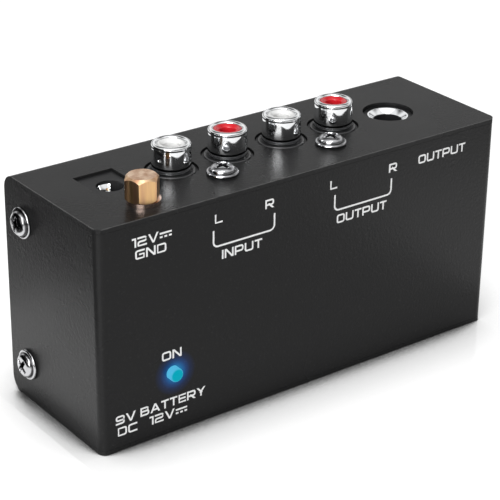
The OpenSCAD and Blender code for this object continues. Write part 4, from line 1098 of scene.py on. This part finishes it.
# %% A Geometry Nodes tree that cuts a thread
RIDGE_SHARE = 0.48
thread, entry, result = new_group(
    "cut thread", "GeometryNodeTree",
    [("Geometry", "NodeSocketGeometry", None), ("Pitch", "NodeSocketFloat", 0.0007),
     ("Radius", "NodeSocketFloat", 0.0019), ("Length", "NodeSocketFloat", 0.005),
     ("Finish", "NodeSocketMaterial", None)],
    [("Geometry", "NodeSocketGeometry")])
wound = join(thread, "DIVIDE", entry["Length"], entry["Pitch"])
helix = put(thread, "GeometryNodeCurveSpiral", {"Resolution": 40},
            {"Rotations": wound, "Start Radius": entry["Radius"], "End Radius": entry["Radius"],
             "Height": entry["Length"]})
ridge = put(thread, "GeometryNodeCurvePrimitiveCircle", {"Resolution": 4},
            {"Radius": join(thread, "MULTIPLY", entry["Pitch"], RIDGE_SHARE)}, mode="RADIUS")
swept = put(thread, "GeometryNodeCurveToMesh", {"Fill Caps": True},
            {"Curve": helix.outputs["Curve"], "Profile Curve": ridge.outputs["Curve"]})
end_tree(thread, swept.outputs[0], entry["Finish"], result["Geometry"])
print("a ridge is as deep as", RIDGE_SHARE, "of its pitch")

# %% [markdown]
# The stud itself is turned: a wide foot that the panel holds, a plain neck through the panel, and a
# root that is as thick as the thread's grooves. The ridge is wound round that root.

# %% Thread of the ground stud
THREAD_PITCH = 0.7 * MM
THREAD_RADIUS = 1.93 * MM
ROOT_RADIUS = 1.62
NECK_RADIUS = 1.95
STUD_HEAD = 3.6
STUD_HEAD_HEIGHT = 2.3
STUD_BEVEL = 0.3
stud_low, stud_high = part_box("ground_stud")
stud_centre = middle("ground_stud")
ridge_depth = RIDGE_SHARE * THREAD_PITCH
thread_foot = PANEL - 1.5 * MM
thread_length = stud_high.z - 0.8 * MM - thread_foot
mesh = run_tree("stud_thread", source_object("thread", [(0, 0, 0)]), thread, Pitch=THREAD_PITCH,
                Radius=THREAD_RADIUS - ridge_depth, Length=thread_length, Finish=brass)
mesh.transform(Matrix.Translation((stud_centre.x, stud_centre.y, thread_foot)))
add_piece("stud_thread", mesh, brass, "case", 40)
foot, tip = stud_low.z / MM, stud_high.z / MM
head_top = foot + STUD_HEAD_HEIGHT
stud_outline = [(0, foot), (STUD_HEAD - STUD_BEVEL, foot), (STUD_HEAD, foot + STUD_BEVEL),
                (STUD_HEAD, head_top), (NECK_RADIUS, head_top), (NECK_RADIUS, PANEL / MM - 1.0),
                (ROOT_RADIUS, PANEL / MM - 0.6), (ROOT_RADIUS, tip - STUD_BEVEL),
                (ROOT_RADIUS - STUD_BEVEL, tip), (0, tip)]
stud = add_piece("turned_stud", lathe("stud", stud_outline, stud_centre, closed=False), brass, "case")
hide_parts("ground_stud")
print("the thread has", round(thread_length / THREAD_PITCH, 1), "turns and", len(mesh.polygons), "faces")

# %% [markdown]
# The nut is a hexagon whose top is bevelled by a lathe, which leaves a curved edge on each flat. In
# polar form that is simple: at each angle the hexagon gives a radius, and the bevel's slope gives the
# height of the top edge there. The corners are eased a little, as drawn bar has.

# %% Outline of the nut
nut_low, nut_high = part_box("ground_nut")
nut_centre = middle("ground_nut")
NUT_FLATS = 6.4
NUT_TURN = math.radians(47.7)
NUT_BEVEL = 0.75
NUT_FACE = NUT_FLATS / 2 - 0.25
NUT_CORNER = NUT_FLATS / 2 / math.cos(math.pi / 6)
NUT_FOOT = 3.22
NUT_BORE = 2.0


def hexagon(half_flats, ease, steps=5, along=10):
    """Points of a hexagon with eased corners, in order round the nut."""
    points = []
    for side in range(6):
        corner = NUT_TURN + side * math.pi / 3
        reach = (half_flats - ease) / math.cos(math.pi / 6)
        bend = [Vector((reach * math.cos(corner) + ease * math.cos(corner + math.radians(a)),
                        reach * math.sin(corner) + ease * math.sin(corner + math.radians(a))))
                for a in [60 * i / steps - 30 for i in range(steps + 1)]]
        points += bend
        turn = Matrix.Rotation(math.pi / 3, 2)
        points += [bend[-1].lerp(turn @ bend[0], i / along) for i in range(1, along)]
    return points


print("the nut is", NUT_FLATS, "mm over its flats and", round(2 * NUT_CORNER, 2), "mm over its corners")

# %% [markdown]
# The nut is a stack of loops: down the bore, out over the foot, up the flats and in over the bevel to
# the face. All loops have the same number of points, so that neighbours are simply joined.

# %% Closed ground nut
def nut_mesh():
    """The nut, closed on top, with its bore open below."""
    foot, top = nut_low.z / MM, nut_high.z / MM
    slope = NUT_BEVEL / (NUT_CORNER - NUT_FACE)
    form = bmesh.new()
    wide = hexagon(NUT_FLATS / 2, 0.2)
    loops = []
    for kind in ("bore top", "bore foot", "foot inside", "foot", "waist", "edge", "eased", "face", "inner"):
        ring = []
        for point in wide:
            reach, ahead = point.length, point.normalized()
            edge = top - slope * (reach - NUT_FACE)
            radius, height = {
                "bore top": (NUT_BORE, foot + 4.3), "bore foot": (NUT_BORE, foot + 0.25),
                "foot inside": (NUT_BORE + 0.25, foot),
                "foot": (min(reach, NUT_FOOT) - 0.06, foot),
                "waist": (reach, foot + 0.06 + 0.9 * max(reach - NUT_FOOT, 0)), "edge": (reach, edge - 0.05),
                "eased": (reach - 0.05, edge), "face": (NUT_FACE - 0.04, top),
                "inner": (NUT_FACE - 0.4, top)}[kind]
            ring.append(form.verts.new((radius * MM * ahead.x, radius * MM * ahead.y, height * MM)))
        loops.append(ring)
    for lower, upper in zip(loops, loops[1:]):
        bridge(form, lower, upper)
    form.faces.new(loops[0])
    form.faces.new(loops[-1])
    return as_mesh("nut", form, (nut_centre.x, nut_centre.y, 0))


nut = add_piece("closed_nut", nut_mesh(), nut_brass, "ground_nut", 20)
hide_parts("ground_nut")
print("the nut has", len(nut.data.polygons), "faces")

# %% [markdown]
# ## Printed lettering
#
# The legends are screen printed in white: plain squarish capitals, and a bracket under each pair of
# sockets. A real font would bring curves that this print doesn't have, so each letter is a few
# strokes, written down as the points that the middle of the stroke passes.

# %% Letters as strokes
CAP_HEIGHT = 2.0
STROKE = 0.38
INK = 0.03
SOFT = 0.42
H = STROKE / 2
TOP = CAP_HEIGHT - H
MID = CAP_HEIGHT / 2


def letter_strokes(letter, w):
    """The strokes of a letter of width w, in mm from its lower left; a third value is a soft corner."""
    r, c, d = w - H, w / 2, H * 1.2
    return {
        "O": [[(H, H, 1), (r, H, 1), (r, TOP, 1), (H, TOP, 1), "closed"]],
        "D": [[(H, H), (r, H, 1), (r, TOP, 1), (H, TOP), "closed"]],
        "C": [[(r, TOP), (H, TOP, 1), (H, H, 1), (r, H)]],
        "G": [[(r, TOP), (H, TOP, 1), (H, H, 1), (r, H), (r, MID), (c, MID)]],
        "U": [[(H, TOP), (H, H, 1), (r, H, 1), (r, TOP)]],
        "P": [[(H, H), (H, TOP)], [(H, TOP), (r, TOP, 1), (r, 0.75, 1), (H, 0.75)]],
        "R": [[(H, H), (H, TOP)], [(H, TOP), (r, TOP, 1), (r, 0.8, 1), (H, 0.8)], [(c, 0.8), (w - d, 0)]],
        "B": [[(H, H), (H, TOP)], [(H, TOP), (r - 0.1, TOP, 1), (r - 0.1, 1.05, 1), (H, 1.05)],
              [(H, 1.05), (r, 1.05, 1), (r, H, 1), (H, H)]],
        "T": [[(H, TOP), (r, TOP)], [(c, H), (c, TOP)]],
        "N": [[(H, H), (H, TOP)], [(r, H), (r, TOP)], [(d, CAP_HEIGHT), (w - d, 0)]],
        "V": [[(d, CAP_HEIGHT), (c, 0)], [(w - d, CAP_HEIGHT), (c, 0)]],
        "Y": [[(d, CAP_HEIGHT), (c, MID)], [(w - d, CAP_HEIGHT), (c, MID)], [(c, H), (c, MID)]],
        "A": [[(d, 0), (c, CAP_HEIGHT)], [(w - d, 0), (c, CAP_HEIGHT)], [(c - 0.5, 0.62), (c + 0.5, 0.62)]],
        "E": [[(r, TOP), (H, TOP), (H, H), (r, H)], [(H, MID), (r - 0.1, MID)]],
        "L": [[(H, TOP), (H, H), (r, H)]],
        "I": [[(H, H), (H, TOP)]],
        "1": [[(H, TOP), (r, TOP)], [(r, H), (r, TOP)]],
        "2": [[(H, TOP), (r, TOP, 1), (r, MID, 1), (H, MID, 1), (H, H), (r, H)]],
        "9": [[(H, H), (r, H, 1), (r, TOP, 1), (H, TOP, 1), (H, 0.92, 1), (r, 0.92)]],
        "=": [[(H, 1.4), (r, 1.4)]] + [[(x, 0.62), (x + 0.28, 0.62)] for x in (H, c - 0.14, r - 0.28)],
    }[letter]


print("an R is drawn by", len(letter_strokes("R", 2.25)), "strokes,", STROKE, "mm wide")

# %% [markdown]
# A word is its letters side by side, spread or squeezed to the width that it has on the box. Soft
# corners become short curves, and the ends of a stroke run on by half its width. Slanted strokes run
# past the line and are cut off level with it afterwards, as the print has them.

# %% Words as paths
LETTER_WIDTHS = {"I": STROKE, "1": 1.0, "T": 1.95, "L": 1.9, "E": 1.95, "Y": 2.3, "V": 2.5, "A": 2.5,
                 "=": 2.9}
USUAL_WIDTH = 2.25
LETTER_GAP = 0.32
WORD_GAP = 0.9


def eased(points):
    """The same path with its soft corners replaced with short curves."""
    closed = points[-1] == "closed"
    corners = [p for p in points if p != "closed"]
    path = []
    for i, corner in enumerate(corners):
        here = Vector(corner[:2])
        if len(corner) == 2:
            path.append(here)
            continue
        before = Vector(corners[i - 1][:2]) - here
        after = Vector(corners[(i + 1) % len(corners)][:2]) - here
        start, end = here + before.normalized() * SOFT, here + after.normalized() * SOFT
        path += [start.lerp(here, t).lerp(here.lerp(end, t), t) for t in (0, 0.25, 0.5, 0.75, 1)]
    return path, closed


def capped(path):
    """A path with its ends carried on, by half a stroke, or further where it is cut off later."""
    def beyond(end, inner):
        ahead = (end - inner).normalized()
        slanted = min(abs(ahead.x), abs(ahead.y)) > 0.05
        return end + ahead * (STROKE if slanted else H)
    return [beyond(path[0], path[1])] + path[1:-1] + [beyond(path[-1], path[-2])]


def word_paths(word, width):
    """The stroke paths of a word, spread or squeezed to a width in mm."""
    paths, pen = [], 0.0
    for letter in word:
        if letter == " ":
            pen += WORD_GAP
            continue
        wide = LETTER_WIDTHS.get(letter, USUAL_WIDTH)
        for stroke in letter_strokes(letter, wide):
            path, closed = eased(stroke)
            path = path if closed else capped(path)
            paths.append(([p + Vector((pen, 0)) for p in path], closed))
        pen += wide + LETTER_GAP
    squeeze = width / (pen - LETTER_GAP)
    return [([Vector((p.x * squeeze, p.y)) for p in path], closed) for path, closed in paths]


print("the longest legend has", len(word_paths("9V BATTERY", 22)), "paths")

# %% [markdown]
# Ink lies on the coat as a very thin layer. The tree turns a path into a curve and runs a flat ribbon
# along it, with the ribbon's face always up. Each stroke lies a few thousandths of a millimetre higher
# than the one before, so that strokes which cross don't flicker. Paths are drawn lying flat, and a
# matrix then stands the print up on a face of the box.

# %% A Geometry Nodes tree that runs ink along paths
LAYER_STEP = 0.003
ink_line, entry, result = new_group(
    "ink line", "GeometryNodeTree",
    [("Geometry", "NodeSocketGeometry", None), ("Width", "NodeSocketFloat", 0.0004),
     ("Thickness", "NodeSocketFloat", 0.00003), ("Finish", "NodeSocketMaterial", None)],
    [("Geometry", "NodeSocketGeometry")])
line = put(ink_line, "GeometryNodeMeshToCurve", None, {0: entry["Geometry"]})
upright = put(ink_line, "GeometryNodeSetCurveNormal", None, {0: line.outputs[0]}, mode="Z_UP")
ribbon = put(ink_line, "GeometryNodeCurvePrimitiveQuadrilateral", None,
             {"Width": entry["Width"], "Height": entry["Thickness"]})
inked = put(ink_line, "GeometryNodeCurveToMesh", {"Fill Caps": True},
            {"Curve": upright.outputs[0], "Profile Curve": ribbon.outputs[0]})
end_tree(ink_line, inked.outputs[0], entry["Finish"], result["Geometry"])


def cut_level(mesh, low, high):
    """Cuts a flat print off below one line and above another, and closes the cuts."""
    form = bmesh.new()
    form.from_mesh(mesh)
    for level, outward in ((low, -1), (high, 1)):
        everything = form.verts[:] + form.edges[:] + form.faces[:]
        bmesh.ops.bisect_plane(form, geom=everything, plane_co=(0, level, 0), plane_no=(0, outward, 0),
                               clear_outer=True)
    bmesh.ops.holes_fill(form, edges=[e for e in form.edges if e.is_boundary], sides=0)
    form.to_mesh(mesh)
    form.free()


FACE_FRONT = Matrix(((1, 0, 0), (0, 0, -1), (0, 1, 0))).to_4x4()
FACE_BACK = Matrix(((-1, 0, 0), (0, 0, 1), (0, 1, 0))).to_4x4()


def print_paths(name, paths, place, cut=True):
    """Inks paths, in mm from a corner, and puts them on a face by a matrix."""
    points, edges = [], []
    for layer, (path, closed) in enumerate(paths):
        first = len(points)
        height = (INK / 2 + LAYER_STEP * (layer % 4)) * MM
        points += [(p.x * MM, p.y * MM, height) for p in path]
        edges += [(i, i + 1) for i in range(first, len(points) - 1)]
        edges += [(len(points) - 1, first)] if closed else []
    mesh = run_tree(name, source_object(name, points, edges), ink_line, Width=STROKE * MM,
                    Thickness=INK * MM, Finish=ink)
    if cut:
        cut_level(mesh, 0, CAP_HEIGHT * MM)
    mesh.transform(place)
    return mesh


def on_front(left, base):
    """The place on the front panel at a corner in mm from its left end and from the floor."""
    return Matrix.Translation((LEFT + left * MM, FRONT, base * MM)) @ FACE_FRONT


print("ink is", INK, "mm thick, and the tree that lays it has", len(ink_line.nodes), "nodes")

# %% [markdown]
# The legends say what each connector is for and nothing else: left and right, input and output, the
# supply, the ground and the battery. Each is a word with its left end, its right end and its base line
# in mm from the front panel's left end and from the floor.

# %% Ink, and the legends
ink = moulded("white_ink", on_screen(222, 222, 222), (0.4, 0.55), 0.004, 5000.0, 0.94)
CAPTIONS = 44.45
NAMES = 36.25
LEGENDS = [("12V=", 7.9, 17.2, CAPTIONS), ("GND", 8.6, 15.9, 41.75),
           ("L", 27.6, 29.5, CAPTIONS), ("R", 40.2, 42.4, CAPTIONS), ("INPUT", 29.4, 39.5, NAMES),
           ("L", 57.1, 59.0, CAPTIONS), ("R", 73.2, 75.4, CAPTIONS), ("OUTPUT", 59.2, 72.9, NAMES),
           ("OUTPUT", 81.5, 95.1, CAPTIONS), ("ON", 14.6, 19.4, 17.3),
           ("9V BATTERY", 3.3, 25.3, 6.3), ("DC", 3.7, 8.4, 3.55), ("12V=", 11.4, 20.7, 3.55)]
prints = [print_paths("print", word_paths(word, right - left), on_front(left, base))
          for word, left, right, base in LEGENDS]
print("printed", len(prints), "legends")

# %% [markdown]
# A bracket under each pair of sockets says which two belong together. It is one open path with round
# lower corners. All the prints on the front are joined into one piece, since they are one pass of the
# screen, and that piece rides on the case.

# %% Brackets, and the prints as one piece
BRACKETS = [(27.1, 42.8), (58.3, 74.2)]
BRACKET_TOP = 43.0
BRACKET_FOOT = 39.2


def bracket_path(width, height, bend=1.1, steps=6):
    """A bracket that is open above, with round lower corners."""
    def corner(x, start):
        angles = [math.radians(start + 90 * i / steps) for i in range(steps + 1)]
        return [Vector((x + bend * math.cos(a), H + bend + bend * math.sin(a))) for a in angles]
    return ([Vector((H, height))] + corner(H + bend, 180) + corner(width - H - bend, 270)
            + [Vector((width - H, height))])


for left, right in BRACKETS:
    path = bracket_path(right - left, BRACKET_TOP - BRACKET_FOOT)
    prints.append(print_paths("bracket", [(path, False)], on_front(left, BRACKET_FOOT), cut=False))


def gather(name, meshes):
    """Joins several meshes into one."""
    together = bmesh.new()
    for mesh in meshes:
        together.from_mesh(mesh)
        bpy.data.meshes.remove(mesh)
    joined = bpy.data.meshes.new(name)
    together.to_mesh(joined)
    together.free()
    return joined


lettering = add_piece("front_lettering", gather("front_lettering", prints), ink, "case")
print("lettering:", len(LEGENDS), "legends,", len(lettering.data.polygons), "faces")

# %% [markdown]
# The battery shows when its door is open. Its jacket is marked as every such battery is: a plus by the
# small terminal, a minus by the large one, and its voltage. The same ink tree prints them.

# %% Marks on the battery
MARK_HALF = 1.0
MARK_INSET = 3.4 * MM
TERMINAL_OFF = 6.4 * MM
MARK_SCALE = 2.6
VOLTAGE_WIDTH = 5.2
VOLTAGE_OFF = 10 * MM
across = ([Vector((-MARK_HALF, 0)), Vector((MARK_HALF, 0))], False)
upright_stroke = ([Vector((0, -MARK_HALF)), Vector((0, MARK_HALF))], False)
battery_middle = (battery_low + battery_high) / 2


def on_battery(x, z, scale=1.0):
    """The place on the battery's outer face at a point, with a scale."""
    return Matrix.Translation((x, battery_high.y, z)) @ FACE_BACK @ Matrix.Diagonal((scale, scale, 1, 1))


marks = [print_paths("plus", [across, upright_stroke],
                     on_battery(battery_low.x + MARK_INSET, battery_middle.z + TERMINAL_OFF), cut=False),
         print_paths("minus", [across],
                     on_battery(battery_low.x + MARK_INSET, battery_middle.z - TERMINAL_OFF), cut=False),
         print_paths("voltage", word_paths("9V", VOLTAGE_WIDTH),
                     on_battery(battery_middle.x + VOLTAGE_OFF,
                                battery_middle.z - CAP_HEIGHT / 2 * MARK_SCALE * MM, MARK_SCALE))]
add_piece("battery_marks", gather("battery_marks", marks), ink, "case")
print("the battery is marked", round(battery_high.y / MM, 2), "mm back")

# %% [markdown]
# ## Floor and light
#
# The box stands on plain white in an evenly lit room. The floor's white comes from its own pale colour
# and from a little light that only the camera and reflections see, so it never lights the object. The
# soft dark seam under the box is a painted shadow: the floor's colour and that light follow how much of
# the sky a spot near it still sees.

# %% Floor
FLOOR_HALF = 4.0
FLOOR_DROP = 0.02 * MM
SHADOW_REACH = 18 * MM
PALE_FLOOR = grey(0.35)
FLOOR_LIFT = 0.75
PAINTED_SHADOW_STEPS = ((0.535, 0.04), (0.554, 0.26), (0.573, 0.44), (0.595, 0.56), (0.617, 0.64), (0.678, 0.71),
            (0.759, 0.78), (0.82, 0.85), (0.95, 0.96), (1.0, 1.0))


def looked_at(tree):
    """White for the rays of the camera, of reflections and of clear parts, and for the camera alone."""
    rays = put(tree, "ShaderNodeLightPath").outputs
    seen = join(tree, "MAXIMUM", rays["Is Camera Ray"], rays["Is Glossy Ray"])
    return join(tree, "MAXIMUM", seen, rays["Is Transmission Ray"]), rays["Is Camera Ray"]


floor_form = bmesh.new()
bmesh.ops.create_grid(floor_form, x_segments=8, y_segments=8, size=FLOOR_HALF)
floor_mesh = bpy.data.meshes.new("floor")
floor_form.to_mesh(floor_mesh)
floor_form.free()
floor = bpy.data.objects.new("floor", floor_mesh)
floor.location.z = -FLOOR_DROP
bpy.context.scene.collection.objects.link(floor)
floor_white, tree, shader, place = new_material("floor_white", Roughness=0.12, Specular_IOR_Level=0.35)
# The seam is painted shadow, read from ambient occlusion.
nearness = put(tree, "ShaderNodeAmbientOcclusion", {"Distance": SHADOW_REACH}, samples=16)
shade = ramp(tree, nearness.outputs["AO"], [(near, grey(bright)) for near, bright in PAINTED_SHADOW_STEPS])
tree.links.new(tint(tree, shade, grey(0.0), PALE_FLOOR), shader.inputs["Base Color"])
seen, _ = looked_at(tree)
glow = put(tree, "ShaderNodeEmission", None,
           {"Strength": join(tree, "MULTIPLY", seen, FLOOR_LIFT), "Color": shade})
both = put(tree, "ShaderNodeAddShader", None, {0: shader.outputs[0], 1: glow.outputs[0]})
tree.links.new(both.outputs[0], tree.nodes["Material Output"].inputs["Surface"])
floor_mesh.materials.append(floor_white)
print("the floor is", 2 * FLOOR_HALF, "m wide, and its seam reaches", round(SHADOW_REACH / MM), "mm")

# %% [markdown]
# The room has two faces. The camera sees plain white, and the matt parts are lit by an even grey. The
# mirrors need more: chrome looks like metal because it shows dark and bright at once. So reflections
# see a far wall that is dark at the foot, bright above it and dark again overhead, and a near side
# whose brightness sets in higher up.

# %% Room
LIGHT_LEVEL = 0.35
world = bpy.data.worlds.new("room")
bpy.context.scene.world = world
world.use_nodes = True
tree = world.node_tree
background = tree.nodes["Background"]
background.inputs["Color"].default_value = (1, 1, 1, 1)
towards = put(tree, "ShaderNodeTexCoord").outputs["Generated"]
rise = split(tree, towards, "Z")


def fade(value, start, end, first, last):
    """A smooth change from the first strength to the last between two values."""
    node = put(tree, "ShaderNodeMapRange",
               {"From Min": start, "From Max": end, "To Min": first, "To Max": last},
               {"Value": value}, interpolation_type="SMOOTHSTEP")
    return node.outputs[0]


far_side = join(tree, "MULTIPLY", fade(rise, 0.45, 0.75, 1.0, 0.12), fade(rise, 0.05, 0.38, 0.15, 1.0))
near_side = fade(rise, 0.35, 0.6, 0.2, 1.0)
facing = put(tree, "ShaderNodeVectorMath", {1: (0.55, 0.83, 0.0)}, {0: towards}, operation="DOT_PRODUCT")
side = fade(facing.outputs["Value"], -0.15, 0.3, 0.0, 1.0)
room = put(tree, "ShaderNodeMapRange", None, {"Value": side, "To Min": near_side, "To Max": far_side})
seen, camera_ray = looked_at(tree)
shown = join(tree, "MAXIMUM", camera_ray, room.outputs[0])
level = put(tree, "ShaderNodeMapRange", {"To Min": LIGHT_LEVEL}, {"Value": seen, "To Max": shown})
tree.links.new(level.outputs[0], background.inputs["Strength"])
print("the room has", len(tree.nodes), "nodes and lights matt parts at", LIGHT_LEVEL)

# %% [markdown]
# The lamps stay weak, because the room does most of the lighting. A wide sun gives the top its even
# light, and two soft boxes at the left brighten the edges that face them.

# %% Lamps
BOX_MIDDLE = (0, 0, 0.05)


def sun(name, direction, strength, spread):
    """A wide sun that shines along a direction, in degrees of spread."""
    lamp = bpy.data.lights.new(name, "SUN")
    lamp.energy = strength
    lamp.angle = math.radians(spread)
    holder = bpy.data.objects.new(name, lamp)
    holder.rotation_euler = Vector(direction).to_track_quat("-Z", "Y").to_euler()
    bpy.context.scene.collection.objects.link(holder)


def softbox(name, place, target, width, height, power):
    """A soft panel of light that faces a target and that the camera doesn't see."""
    lamp = bpy.data.lights.new(name, "AREA")
    lamp.shape = "RECTANGLE"
    lamp.size, lamp.size_y, lamp.energy = width, height, power
    holder = bpy.data.objects.new(name, lamp)
    holder.location = place
    holder.rotation_euler = (Vector(target) - Vector(place)).to_track_quat("-Z", "Y").to_euler()
    holder.visible_camera = False
    bpy.context.scene.collection.objects.link(holder)


sun("overhead", (0.1, 0.2, -1.0), 0.25, 60)
softbox("key", (-0.456, -0.296, 0.30), BOX_MIDDLE, 0.40, 0.37, 4.6)
softbox("top", (-0.22, -0.31, 0.62), BOX_MIDDLE, 0.3, 0.3, 0.85)
print("lamps:", sorted(lamp.name for lamp in bpy.data.lights))

# %% [markdown]
# Flat cards, which only reflections see, put one dark shape and two bright ones where the paint and
# the chrome mirror them. They stand in for the tools of a photographer's table, and no light from them
# falls on the box.

# %% Cards
def card(name, corners, brightness):
    """A studio card that only reflections see."""
    mesh = bpy.data.meshes.new(name)
    mesh.from_pydata([tuple(v * MM for v in corner) for corner in corners], [], [(0, 1, 2, 3)])
    holder = bpy.data.objects.new(name, mesh)
    bpy.context.scene.collection.objects.link(holder)
    finish = bpy.data.materials.new(name)
    finish.use_nodes = True
    tree = finish.node_tree
    light = put(tree, "ShaderNodeEmission", {"Strength": brightness})
    tree.links.new(light.outputs[0], tree.nodes["Material Output"].inputs["Surface"])
    mesh.materials.append(finish)
    for ray in ("camera", "diffuse", "transmission", "volume_scatter", "shadow"):
        setattr(holder, "visible_" + ray, False)


card("dark_card", [(-84, -20, 4.5), (-84, 110, 4.5), (-84, 110, 90), (-84, -20, 90)], 0.0)
card("low_card", [(-110, -30, 0.5), (-56, -30, 0.5), (-56, 52, 0.5), (-110, 52, 0.5)], 1.7)
card("front_card", [(62, -100, 0.5), (130, -100, 0.5), (130, -26, 0.5), (62, -26, 0.5)], 2.2)
bpy.context.scene.view_settings.view_transform = "Standard"
